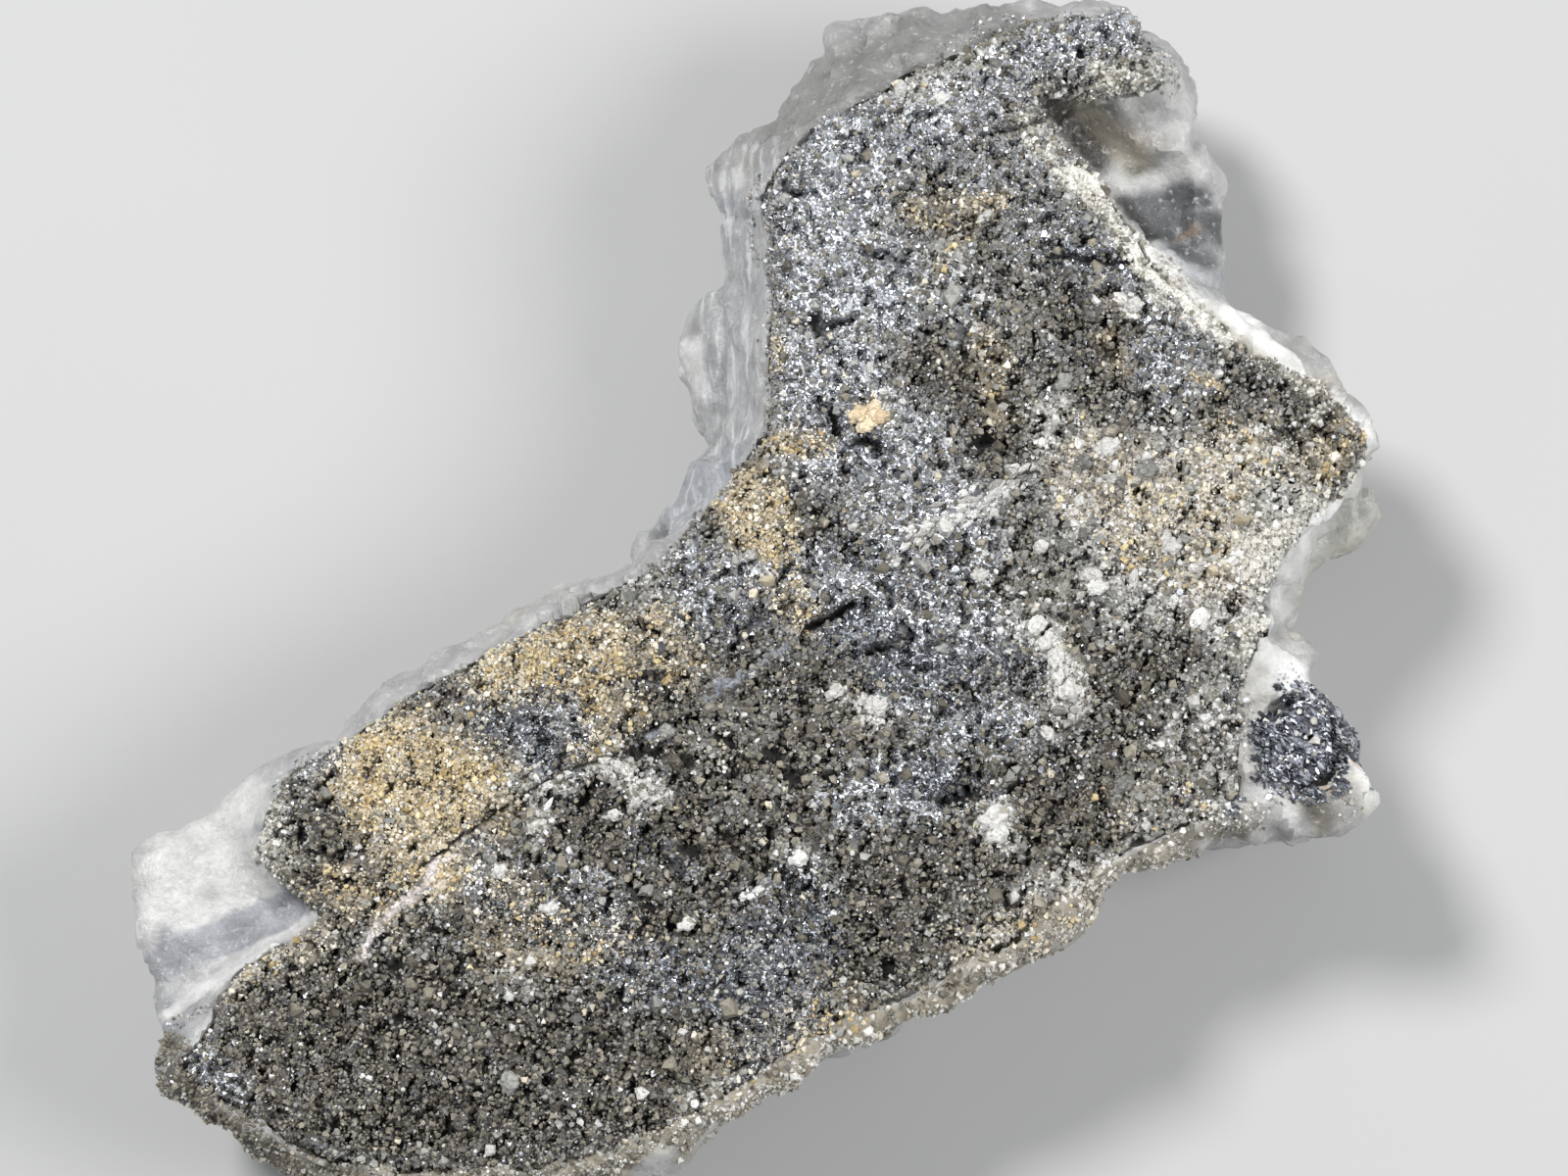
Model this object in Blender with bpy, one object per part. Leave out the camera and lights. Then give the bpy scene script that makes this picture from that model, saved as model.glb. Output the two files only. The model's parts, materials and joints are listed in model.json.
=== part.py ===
"""Polybasite crystal specimen: a slab of milky vein quartz that carries a
granular polybasite crust over most of its upper face, and a small second
patch of polybasite on its lower right corner.

Frame: metres, +Z up, the slab lies on its flat back on z = 0 and the middle
of its bounding box is over the origin.  +X is the long way of the slab.
"""
import bpy
import bmesh
import math
from mathutils import Vector, noise, geometry

MM = 0.001

# ---------------------------------------------------------------- heights, mm
SEAT_Z = 13.5            # flat seat in the quartz, under the crust
CRUST_UNDER_Z = 13.6     # underside of the crust
CRUST_TOP_Z = 15.15      # mean level of the crust's upper face
PATCH_TOP_Z = 15.0       # mean level of the corner patch
PLATEAU_Z = 14.9         # bare quartz round the crust
OVER_ALL_Z = 19.0        # top of the cutters
SEAT_CLEARANCE = 0.45    # sideways gap between a crust and its seat

# ------------------------------------------------------- fineness of the build
BLOCK_VOXEL = 0.50       # mm
CRUST_VOXEL = 0.42
BLOCK_TRIANGLES = 6300
CRUST_TRIANGLES = 4250
PATCH_TRIANGLES = 420

# Upper edge of the quartz block, clockwise from the top: height, then (x, y).
TOP_EDGE = (11.5, ((7.1, 31.6), (8.0, 31.9), (8.9, 31.2), (9.8, 31.2),
                   (11.1, 31.6), (14.2, 31.9), (17.3, 31.8), (19.4, 31.6)))
LOBE_EDGE = (10.0, ((19.9, 31.2), (20.2, 29.9), (21.0, 29.7), (21.9, 28.6),
                    (22.7, 27.9), (23.1, 27.1), (23.5, 26.0), (23.4, 25.3),
                    (23.0, 25.1), (23.2, 24.3), (23.5, 23.1), (24.0, 22.9),
                    (24.7, 22.2), (24.7, 21.9), (24.2, 21.1), (24.0, 19.5),
                    (24.2, 18.1), (24.6, 16.4)))
SHOULDER_EDGE = (11.0, ((24.5, 15.7), (25.0, 15.0), (25.7, 14.8), (26.8, 14.0),
                        (28.3, 13.0), (28.7, 11.9), (29.0, 10.8)))
EAST_CORNER = (13.0, ((29.3, 10.1), (30.0, 8.8), (31.0, 8.0), (32.0, 7.0),
                      (32.6, 6.1)))
EAST_FACET = (8.5, ((32.5, 5.7), (31.8, 5.2), (31.2, 4.3), (30.6, 3.5),
                    (30.4, 2.9), (29.8, 2.4), (29.1, 2.2), (28.4, 1.4),
                    (28.4, 0.6), (27.9, -0.3)))
WEDGE_EDGE = (12.0, ((27.0, -1.6), (26.9, -2.6), (27.6, -3.7), (28.6, -5.5),
                     (29.7, -7.0), (30.4, -8.8), (31.2, -10.5), (31.7, -11.0),
                     (31.8, -11.5)))
SOUTH_CORNER = (13.0, ((31.1, -12.5), (29.5, -13.0), (27.6, -13.5),
                       (25.7, -13.9), (24.4, -13.7), (23.6, -13.3),
                       (22.2, -13.7), (20.9, -14.4), (19.2, -15.0),
                       (18.4, -15.5)))
SOUTH_EDGE = (13.9, ((17.3, -16.2), (15.9, -17.9), (13.0, -20.2),
                     (9.3, -22.0), (5.4, -24.1), (1.7, -26.0), (-2.1, -28.2),
                     (-5.8, -30.3), (-8.1, -31.0)))
TAIL_EDGE = (13.5, ((-10.3, -31.4), (-12.0, -31.6), (-15.4, -31.9),
                    (-18.9, -31.8), (-22.3, -31.2), (-24.5, -30.3),
                    (-26.7, -28.9), (-27.9, -28.4), (-28.8, -27.8),
                    (-30.0, -27.0), (-30.7, -26.1), (-31.1, -25.4),
                    (-30.6, -24.7), (-30.2, -24.1), (-31.0, -23.2),
                    (-30.8, -22.7)))
LEDGE_EDGE = (11.9, ((-30.9, -22.1), (-31.7, -20.7), (-32.1, -19.8),
                     (-32.6, -18.6), (-32.6, -16.3), (-32.4, -13.9),
                     (-31.4, -13.2), (-30.0, -12.1), (-28.0, -11.0),
                     (-25.4, -9.6), (-23.1, -8.4)))
NORTH_EDGE = (12.8, ((-21.6, -7.5), (-19.9, -6.2), (-18.5, -5.1),
                     (-17.1, -4.2), (-15.6, -3.4), (-12.0, -1.5),
                     (-9.3, -0.1), (-7.3, 1.1), (-6.3, 2.2)))
FLANK_EDGE = (8.5, ((-5.6, 3.9), (-4.9, 4.7), (-4.4, 5.7), (-4.1, 7.1),
                    (-3.9, 8.4), (-3.9, 9.4), (-4.3, 11.3), (-4.7, 12.1),
                    (-4.7, 13.4), (-4.2, 14.4), (-3.3, 15.5), (-2.9, 16.6),
                    (-2.9, 18.0), (-2.8, 19.3), (-2.9, 20.8), (-2.9, 22.0),
                    (-2.7, 23.0)))
CROWN_EDGE = (10.5, ((-2.3, 23.5), (-1.6, 24.3), (-0.3, 25.0), (0.2, 26.0),
                     (1.2, 26.5), (1.9, 27.5), (3.5, 29.2), (4.3, 29.7),
                     (5.9, 30.9)))
BLOCK_EDGE = (TOP_EDGE, LOBE_EDGE, SHOULDER_EDGE, EAST_CORNER, EAST_FACET,
              WEDGE_EDGE, SOUTH_CORNER, SOUTH_EDGE, TAIL_EDGE, LEDGE_EDGE,
              NORTH_EDGE, FLANK_EDGE, CROWN_EDGE)

# Rim of the high plateau that the crust grew on, clockwise from the top left.
NORTH_RIM = ((0.3, 21.5), (2.3, 23.6), (5.4, 25.3), (8.4, 26.9), (11.0, 28.2),
             (13.1, 29.2), (16.1, 29.7), (18.7, 29.8))
LOBE_RIM = ((19.3, 28.6), (20.4, 26.9), (20.7, 25.9), (18.6, 25.3),
            (15.3, 25.0), (13.3, 25.7))
HOLLOW_RIM = ((14.1, 24.1), (15.2, 23.1), (16.0, 22.0), (17.3, 20.9),
              (18.3, 19.7), (19.3, 18.3), (20.6, 16.8), (22.1, 15.3))
EAST_RIM = ((23.5, 14.3), (24.8, 13.2), (26.3, 12.0), (27.5, 10.6),
            (28.5, 9.3), (30.0, 7.4), (31.1, 6.3), (30.4, 5.2), (29.2, 3.9),
            (27.8, 2.4), (26.3, 0.6), (25.6, -1.4), (25.6, -3.1),
            (26.3, -4.7), (27.6, -6.5), (28.8, -8.3), (29.7, -10.2),
            (30.3, -11.3), (29.4, -11.9), (27.6, -12.4), (25.6, -12.8))
SOUTH_RIM = ((23.7, -12.5), (21.9, -13.0), (20.3, -13.6), (18.4, -14.5),
             (16.8, -15.6), (15.2, -17.2), (12.6, -19.3), (9.0, -21.1),
             (5.0, -23.1), (1.4, -25.1), (-2.1, -27.2), (-5.8, -29.3),
             (-8.5, -30.2))
TAIL_RIM = ((-11.9, -30.8), (-15.4, -31.1), (-18.8, -30.9), (-22.2, -30.3),
            (-24.2, -29.5), (-26.3, -28.1), (-28.2, -27.1), (-29.5, -26.2),
            (-30.1, -25.6), (-28.9, -24.5), (-28.0, -23.1))
LEDGE_RIM = ((-28.1, -21.8), (-26.7, -20.8), (-24.5, -19.3), (-22.2, -18.0),
             (-23.0, -17.2), (-24.2, -16.5), (-25.3, -15.6), (-25.9, -14.9),
             (-25.9, -13.9), (-25.0, -11.9), (-24.5, -10.9), (-23.5, -10.2))
NORTHWEST_RIM = ((-21.7, -9.2), (-19.1, -7.2), (-16.6, -5.7), (-14.2, -4.3),
                 (-11.7, -2.9), (-8.7, -1.4), (-6.5, -0.3), (-4.7, 1.5),
                 (-3.2, 3.3), (-1.7, 5.1), (-0.2, 6.9), (0.1, 9.2),
                 (-0.1, 11.8), (0.1, 14.4), (-0.1, 17.5), (-0.5, 19.6))
PLATEAU_RIM = (NORTH_RIM, LOBE_RIM, HOLLOW_RIM, EAST_RIM, SOUTH_RIM,
               TAIL_RIM, LEDGE_RIM, NORTHWEST_RIM)

# The crust keeps this far in from each stretch of the rim, mm.  Beside the
# hollow and along the east rim it stops short of a wide band of bare quartz,
# so there it has an edge of its own.
CRUST_HOLLOW = ((13.6, 24.1), (14.6, 22.9), (15.5, 21.7), (16.6, 20.3),
                (17.3, 19.3))
CRUST_EAST = ((18.3, 17.6), (19.2, 16.2), (20.4, 14.8), (22.0, 13.4),
              (23.1, 12.3), (24.1, 11.8), (24.3, 10.5), (26.0, 10.2),
              (27.8, 9.4), (29.2, 8.2), (30.2, 7.0), (30.4, 6.2),
              (29.8, 5.0), (28.9, 4.0), (27.5, 2.9), (26.0, 1.2),
              (25.2, -0.2), (24.8, -1.3), (25.0, -2.4), (24.6, -3.6),
              (23.9, -5.4), (23.3, -6.9), (23.7, -8.2), (23.6, -9.4),
              (23.8, -10.8))
CRUST_STRETCHES = ((NORTH_RIM, 0.7), (LOBE_RIM, 0.5), (CRUST_HOLLOW, 0.0),
                   (CRUST_EAST, 0.0), (SOUTH_RIM, 0.6), (TAIL_RIM, 0.6),
                   (LEDGE_RIM, 0.45), (NORTHWEST_RIM, 0.6))

# Lower ground outside the plateau: (x, y, z).
LEDGE_FOOT = ((-29.2, -22.0, 12.9), (-27.5, -20.6, 12.5),
              (-25.2, -19.0, 12.6), (-23.2, -17.9, 12.9),
              (-24.9, -16.3, 12.6), (-26.2, -15.3, 12.5),
              (-26.8, -14.4, 12.4), (-26.6, -13.2, 12.4),
              (-25.8, -11.2, 12.5), (-25.0, -10.3, 12.6))
LEDGE_FLOOR = ((-31.0, -15.9, 12.7), (-29.1, -18.6, 12.4),
               (-28.4, -14.2, 12.9), (-30.4, -21.2, 12.2))
HOLLOW_FOOT = ((14.2, 25.0, 12.6), (15.8, 24.0, 11.0), (16.9, 23.0, 10.4),
               (18.2, 21.9, 10.2), (19.3, 20.6, 10.2), (20.3, 19.1, 10.2),
               (21.6, 17.5, 10.8), (23.0, 15.9, 11.6))
LOBE_SWELLS = ((20.9, 25.5, 13.4), (22.2, 24.2, 12.6), (16.6, 24.6, 12.2),
               (19.3, 24.0, 12.2), (22.6, 22.1, 12.2), (17.9, 23.2, 11.2),
               (20.6, 22.6, 12.6), (20.5, 21.3, 10.8), (22.4, 20.2, 10.6),
               (21.4, 18.8, 10.1), (23.0, 17.8, 10.6), (22.3, 26.6, 12.0))
FLANK_CREASE = ((-1.9, 20.5, 11.6), (-2.1, 18.1, 11.2), (-2.3, 15.5, 10.8),
                (-2.6, 12.8, 10.8), (-2.7, 10.2, 11.0), (-2.9, 7.6, 11.2),
                (-3.6, 5.2, 11.6), (-4.9, 3.6, 12.0))
CROWN_SLOPE = ((3.2, 27.0, 12.8), (7.4, 29.4, 13.2), (11.0, 30.2, 13.4),
               (15.5, 30.9, 13.6))
EAST_SLOPE = ((26.2, 13.4, 13.4), (28.0, 11.6, 13.6))

# Walls of the block from the upper edge down: share of the height left, how
# far the wall draws in (mm) and how much the edge's small corners even out.
WALL_RINGS = ((0.66, 0.5, 2), (0.36, 1.1, 5), (0.10, 2.0, 8),
              (-0.10, 2.7, 10))
WALL_WANDER = (6.0, 0.7)         # size and depth of the walls' swells, mm
EDGE_SPARE = 0.35                # mm that breaking takes off the edge again

# Broken faces: size of a facet (mm), slope, and where the pattern starts.
LARGE_FACETS = (7.5, 0.55, 3.0)
LARGE_FACETS_IN = 1.1            # mm that they cut into the wall on average
SMALL_FACETS = (2.6, 0.30, 11.0)
BLOCK_GRAIN = (1.1, 0.16, 0.0)   # size, height (mm) and start of a fine swell
CALM_RIM = 0.25                  # share of the large facets at the rim
CALM_DEPTH = 5.0                 # mm below the rim where they are full

# Outline of the small patch on the lower right corner.
PATCH_EDGE = ((25.5, -8.0), (26.0, -7.4), (26.7, -7.1), (27.3, -6.9),
              (28.0, -7.7), (28.7, -8.9), (28.9, -9.8), (28.4, -10.6),
              (27.6, -11.1), (26.5, -11.2), (25.4, -10.9), (25.2, -9.6))

# Vein that crosses the crust from right to left; the crust is a little
# higher on its upper left side.
VEIN = ((31.0, 9.9), (24.4, 9.8), (21.4, 9.3), (18.9, 8.2), (13.4, 4.9),
        (7.8, 1.7), (2.3, -2.6), (-2.4, -5.7), (-9.1, -10.2), (-15.1, -13.8),
        (-19.0, -16.5), (-24.0, -19.6))
VEIN_STEP = 0.45         # mm
VEIN_STEP_WIDTH = 0.5
VEIN_RIDGE = 0.22
VEIN_RIDGE_WIDTH = 0.8

# Knots of quartz that stand out of the crust: (x, y, radius, height).
KNOTS = ((15.1, -5.7, 1.3, 0.75), (14.6, -3.4, 0.9, 0.45),
         (11.6, -13.2, 1.2, 0.8), (-7.0, -10.7, 1.3, 0.6),
         (-11.9, -13.0, 1.1, 0.5), (13.4, -2.8, 0.9, 0.4),
         (5.0, -7.3, 0.9, 0.4), (9.1, -9.8, 0.9, 0.4),
         (17.8, 5.6, 1.5, 0.5), (20.9, 2.5, 1.6, 0.4),
         (11.5, 4.3, 1.2, 0.4), (-3.4, -26.2, 1.2, 0.35),
         (24.6, 1.5, 1.3, 0.35), (17.0, -16.0, 0.9, 0.4))
# Small vugs in the crust: (x, y, radius, depth).
VUGS = ((3.0, 12.7, 0.9, 0.9), (2.4, -1.9, 0.9, 0.9), (13.3, 5.2, 0.8, 0.7),
        (-0.2, 20.6, 0.7, 0.6), (4.9, 16.1, 0.8, 0.7),
        (17.0, 15.8, 0.9, 0.7), (17.7, 11.4, 0.7, 0.7),
        (9.4, -11.4, 0.9, 0.8), (6.3, -3.8, 1.0, 0.8),
        (-4.2, -13.8, 1.0, 0.7), (3.2, 8.2, 1.0, 0.5),
        (-1.4, -0.9, 1.0, 0.5), (-19.6, -21.0, 1.0, 0.5),
        (20.9, 12.6, 0.9, 0.6), (-13.0, -7.0, 0.9, 0.4),
        (0.6, -17.6, 1.0, 0.6), (-9.6, -24.0, 1.0, 0.5))

# Lumpy face of the crusts: size, height (mm) and start of each swell, and
# size, slope and start of the small facets.
CRUST_SWELLS = ((18.0, 0.55, 4.0), (4.8, 0.28, 9.0), (0.9, 0.20, 2.0))
CRUST_FACETS = (1.5, 0.40, 21.0)
PATCH_SWELLS = ((0.9, 0.20, 6.0),)
PATCH_FACETS = (1.1, 0.48, 31.0)
CRUST_SIDE = (1.25, 0.30, 0.10)  # size, depth and draw-in of its ragged side
SIDE_RISE = 0.7                  # mm over which the relief fades in

QUARTZ_COLOUR = (0.78, 0.77, 0.74, 1.0)
CRUST_COLOUR = (0.20, 0.19, 0.18, 1.0)
PATCH_COLOUR = (0.09, 0.09, 0.10, 1.0)


# ------------------------------------------------------------- small helpers
def clear_scene():
    for old in list(bpy.data.objects):
        bpy.data.objects.remove(old, do_unlink=True)


def link_mesh(name, points, faces):
    mesh = bpy.data.meshes.new(name)
    mesh.from_pydata([tuple(p) for p in points], [], faces)
    mesh.update()
    node = bpy.data.objects.new(name, mesh)
    bpy.context.scene.collection.objects.link(node)
    return node


def apply_modifiers(node):
    graph = bpy.context.evaluated_depsgraph_get()
    mesh = bpy.data.meshes.new_from_object(node.evaluated_get(graph))
    old = node.data
    node.modifiers.clear()
    node.data = mesh
    mesh.name = node.name
    bpy.data.meshes.remove(old)


def remesh(node, voxel_mm):
    step = node.modifiers.new("voxels", 'REMESH')
    step.mode = 'VOXEL'
    step.voxel_size = voxel_mm * MM
    apply_modifiers(node)


def thin_out(node, triangles):
    count = sum(len(p.vertices) - 2 for p in node.data.polygons)
    step = node.modifiers.new("thin", 'DECIMATE')
    step.ratio = min(1.0, triangles / count)
    apply_modifiers(node)


def cut_away(node, cutter):
    step = node.modifiers.new("cut", 'BOOLEAN')
    step.operation = 'DIFFERENCE'
    step.solver = 'EXACT'
    step.object = cutter
    apply_modifiers(node)
    bpy.data.objects.remove(cutter, do_unlink=True)


def flat_underside(node, z_mm):
    """Cuts the body flat at the given height and closes the cut."""
    work = bmesh.new()
    work.from_mesh(node.data)
    every = list(work.verts) + list(work.edges) + list(work.faces)
    cut = bmesh.ops.bisect_plane(work, geom=every, dist=1e-7,
                                 plane_co=(0, 0, z_mm * MM),
                                 plane_no=(0, 0, 1), clear_inner=True)
    rim = [e for e in cut['geom_cut'] if isinstance(e, bmesh.types.BMEdge)]
    bmesh.ops.contextual_create(work, geom=rim)
    work.to_mesh(node.data)
    work.free()


def keep_largest_body(node):
    work = bmesh.new()
    work.from_mesh(node.data)
    work.verts.ensure_lookup_table()
    bodies, seen = [], set()
    for start in work.verts:
        if start.index in seen:
            continue
        body, stack = [], [start]
        seen.add(start.index)
        while stack:
            vert = stack.pop()
            body.append(vert)
            for edge in vert.link_edges:
                other = edge.other_vert(vert)
                if other.index not in seen:
                    seen.add(other.index)
                    stack.append(other)
        bodies.append(body)
    bodies.sort(key=len)
    spare = [vert for body in bodies[:-1] for vert in body]
    bmesh.ops.delete(work, geom=spare, context='VERTS')
    work.to_mesh(node.data)
    work.free()


def tidy_faces(node):
    """Triangles only, no slivers, every face turned outward."""
    work = bmesh.new()
    work.from_mesh(node.data)
    bmesh.ops.remove_doubles(work, verts=work.verts, dist=0.02 * MM)
    bmesh.ops.triangulate(work, faces=work.faces)
    bmesh.ops.dissolve_degenerate(work, edges=work.edges, dist=0.01 * MM)
    bmesh.ops.triangulate(work, faces=work.faces)
    bmesh.ops.recalc_face_normals(work, faces=work.faces)
    work.to_mesh(node.data)
    work.free()


def material(name, colour, roughness, metallic=0.0):
    made = bpy.data.materials.new(name)
    made.use_nodes = True
    shader = made.node_tree.nodes["Principled BSDF"]
    shader.inputs["Base Color"].default_value = colour
    shader.inputs["Roughness"].default_value = roughness
    shader.inputs["Metallic"].default_value = metallic
    made.diffuse_color = colour
    return made


def inward_normals(loop):
    """Unit directions that point into a clockwise loop, one per corner."""
    out = []
    for i, here in enumerate(loop):
        before, after = loop[i - 1], loop[(i + 1) % len(loop)]
        along = Vector((after[0] - before[0], after[1] - before[1]))
        along.normalize()
        out.append(Vector((along.y, -along.x)))
    return out


def evened(loop, passes):
    for _ in range(passes):
        loop = [(loop[i - 1] + 2.0 * p + loop[(i + 1) % len(loop)]) / 4.0
                for i, p in enumerate(loop)]
    return loop


def grown(loop, by):
    points = [Vector(p) for p in loop]
    return [tuple(p - n * by) for p, n in zip(points, inward_normals(points))]


def prism(name, loop, low, high):
    count = len(loop)
    points = [(x * MM, y * MM, low * MM) for x, y in loop]
    points += [(x * MM, y * MM, high * MM) for x, y in loop]
    flat = [(x, y, 0.0) for x, y in loop]
    lid = geometry.tessellate_polygon([[Vector(p) for p in flat]])
    faces = [tuple(i + count for i in tri) for tri in lid]
    faces += [tuple(reversed(tri)) for tri in lid]
    faces += [(i, (i + 1) % count, (i + 1) % count + count, i + count)
              for i in range(count)]
    node = link_mesh(name, points, faces)
    work = bmesh.new()
    work.from_mesh(node.data)
    bmesh.ops.recalc_face_normals(work, faces=work.faces)
    work.to_mesh(node.data)
    work.free()
    return node


def facets(p, size, slope, start):
    """Broken-stone relief: each cell tilts its own way, so that neighbouring
    cells meet in low steps and ridges."""
    q = p / size + Vector((start, 0.0, 0.0))
    nearest = noise.voronoi(q)[1][0]
    tilt = noise.cell_vector(nearest * 7.3) - Vector((0.5, 0.5, 0.5))
    return (q - nearest).dot(tilt) * slope * size


def swell(p, size, height, start):
    return height * noise.noise(p / size + Vector((0.0, 0.0, start)))


def join_loop(stretches):
    return [point for stretch in stretches for point in stretch]


# ------------------------------------------------------------- quartz matrix
def block_edge_points():
    loop = join_loop(run for _, run in BLOCK_EDGE)
    heights = [z for z, run in BLOCK_EDGE for _ in run]
    edge = [Vector((x, y, z))
            for (x, y), z in zip(grown(loop, EDGE_SPARE), heights)]
    count = len(edge)
    for _ in range(2):
        heights = [(heights[i - 1] + heights[i] + heights[(i + 1) % count])
                   / 3.0 for i in range(count)]
    for p, z in zip(edge, heights):
        p.z = z
    return edge


def block_lid(edge):
    """Upper face of the block, through the edge, the plateau rim and the
    lower ground beside it."""
    rim = [Vector((x, y, PLATEAU_Z)) for x, y in join_loop(PLATEAU_RIM)]
    fixed, joins = [], []
    for loop in (edge, rim):
        start = len(fixed)
        fixed += loop
        joins += [(start + i, start + (i + 1) % len(loop))
                  for i in range(len(loop))]
    for line in (LEDGE_FOOT, HOLLOW_FOOT, FLANK_CREASE):
        start = len(fixed)
        fixed += [Vector(p) for p in line]
        joins += [(start + i, start + i + 1) for i in range(len(line) - 1)]
    for spots in (LEDGE_FLOOR, LOBE_SWELLS, CROWN_SLOPE, EAST_SLOPE):
        fixed += [Vector(p) for p in spots]
    flat = [Vector((p.x, p.y)) for p in fixed]
    made, _, faces, origin, _, _ = geometry.delaunay_2d_cdt(
        flat, joins, [], 1, 1e-4)
    lid = []
    for spot, came_from in zip(made, origin):
        if came_from:
            z = fixed[came_from[0]].z
        else:
            near = sorted(fixed, key=lambda q: (q.x - spot.x) ** 2
                          + (q.y - spot.y) ** 2)[:3]
            z = sum(q.z for q in near) / 3.0
        lid.append(Vector((spot.x, spot.y, z)))
    return lid, faces, origin


def rough_block():
    edge = block_edge_points()
    lid, faces, origin = block_lid(edge)
    points = [p * MM for p in lid]
    faces = [tuple(f) for f in faces]
    at_edge = {came[0]: i for i, came in enumerate(origin)
               if came and came[0] < len(edge)}
    above = [at_edge[i] for i in range(len(edge))]
    flat_edge = [Vector((p.x, p.y)) for p in edge]
    count = len(edge)
    for share, draw_in, passes in WALL_RINGS:
        loop = evened(flat_edge, passes)
        inward = evened(inward_normals(loop), 4)
        ring = []
        for i, (spot, into) in enumerate(zip(loop, inward)):
            wander = swell(Vector((spot.x, spot.y, edge[i].z * share)),
                           *WALL_WANDER, 0.0)
            at = spot + into * (draw_in + wander)
            ring.append(len(points))
            points.append(Vector((at.x, at.y, edge[i].z * share)) * MM)
        faces += [(above[i], ring[i], ring[(i + 1) % count],
                   above[(i + 1) % count]) for i in range(count)]
        above = ring
    foot = [points[i] for i in above]
    lower = geometry.tessellate_polygon(
        [[Vector((p.x, p.y, 0.0)) for p in foot]])
    faces += [tuple(above[i] for i in tri) for tri in lower]
    block = link_mesh("quartz_matrix", points, faces)
    work = bmesh.new()
    work.from_mesh(block.data)
    bmesh.ops.recalc_face_normals(work, faces=work.faces)
    work.to_mesh(block.data)
    work.free()
    return block


def break_surface(block):
    """Large facets on the walls, small ones and a fine swell all over."""
    mesh = block.data
    moves = []
    for vert in mesh.vertices:
        p = vert.co / MM
        depth = max(0.0, min(1.0, (PLATEAU_Z - p.z) / CALM_DEPTH))
        share = CALM_RIM + (1.0 - CALM_RIM) * depth
        push = facets(p, *LARGE_FACETS) - LARGE_FACETS_IN
        push *= share * (1.0 - abs(vert.normal.z))
        push += facets(p, *SMALL_FACETS)
        push += swell(p, *BLOCK_GRAIN)
        moves.append(vert.normal * push * MM)
    for vert, move in zip(mesh.vertices, moves):
        vert.co += move
    mesh.update()


def build_matrix():
    block = rough_block()
    remesh(block, BLOCK_VOXEL)
    break_surface(block)
    remesh(block, BLOCK_VOXEL)
    thin_out(block, BLOCK_TRIANGLES)
    flat_underside(block, 0.0)
    for outline in (crust_edge(), PATCH_EDGE):
        cut_away(block, prism("seat", grown(outline, SEAT_CLEARANCE), SEAT_Z,
                              OVER_ALL_Z))
    keep_largest_body(block)
    tidy_faces(block)
    block.data.materials.clear()
    block.data.materials.append(
        material("milky_quartz", QUARTZ_COLOUR, 0.35))


# ------------------------------------------------------------------- crusts
def crust_edge():
    loop = join_loop(stretch for stretch, _ in CRUST_STRETCHES)
    inset = [by for stretch, by in CRUST_STRETCHES for _ in stretch]
    return [(x + into.x * by, y + into.y * by)
            for (x, y), into, by in zip(loop, inward_normals(loop), inset)]


def beside_vein(x, y):
    """Distance from the vein, positive on its upper left side."""
    best = None
    for (ax, ay), (bx, by) in zip(VEIN[:-1], VEIN[1:]):
        dx, dy = bx - ax, by - ay
        along = ((x - ax) * dx + (y - ay) * dy) / (dx * dx + dy * dy)
        along = max(0.0, min(1.0, along))
        fx, fy = x - ax - along * dx, y - ay - along * dy
        far = math.hypot(fx, fy)
        if best is None or far < abs(best):
            best = far if dy * fx - dx * fy > 0 else -far
    return best


def bumps(x, y, places):
    """Sum of round bumps: (x, y, radius, height)."""
    total = 0.0
    for bx, by, radius, height in places:
        off = ((x - bx) ** 2 + (y - by) ** 2) / radius ** 2
        if off < 4.0:
            total += height * math.exp(-off)
    return total


def crust_relief(p):
    """Height of the crust over its mean level: swells, the step and quartz
    ridge of the vein, knots, vugs and a lumpy grain."""
    level = Vector((p.x, p.y, 0.0))
    side = beside_vein(p.x, p.y)
    rise = sum(swell(level, *each) for each in CRUST_SWELLS)
    rise += facets(level, *CRUST_FACETS)
    rise += VEIN_STEP * 0.5 * math.tanh(side / VEIN_STEP_WIDTH)
    rise += VEIN_RIDGE * math.exp(-(side / VEIN_RIDGE_WIDTH) ** 2)
    rise += bumps(p.x, p.y, KNOTS) - bumps(p.x, p.y, VUGS)
    return rise


def patch_relief(p):
    level = Vector((p.x, p.y, 0.0))
    return (sum(swell(level, *each) for each in PATCH_SWELLS)
            + facets(level, *PATCH_FACETS))


def grow_crust(name, outline, top, triangles, relief):
    crust = prism(name, outline, SEAT_Z - CRUST_VOXEL * 4.0, top)
    remesh(crust, CRUST_VOXEL)
    mesh = crust.data
    size, depth, draw_in = CRUST_SIDE
    for vert in mesh.vertices:
        p = vert.co / MM
        aside = Vector((vert.normal.x, vert.normal.y, 0.0))
        ragged = swell(p, size, depth, 0.0) - draw_in
        share = max(0.0, min(1.0, (p.z - CRUST_UNDER_Z) / SIDE_RISE))
        lift = relief(p) * share
        vert.co += (aside * ragged + Vector((0.0, 0.0, lift))) * MM
    mesh.update()
    thin_out(crust, triangles)
    flat_underside(crust, CRUST_UNDER_Z)
    keep_largest_body(crust)
    tidy_faces(crust)
    crust.data.materials.clear()
    return crust


def build_crust():
    crust = grow_crust("polybasite_crust", crust_edge(), CRUST_TOP_Z,
                       CRUST_TRIANGLES, crust_relief)
    crust.data.materials.append(
        material("polybasite_crust", CRUST_COLOUR, 0.45, 0.35))


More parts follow.
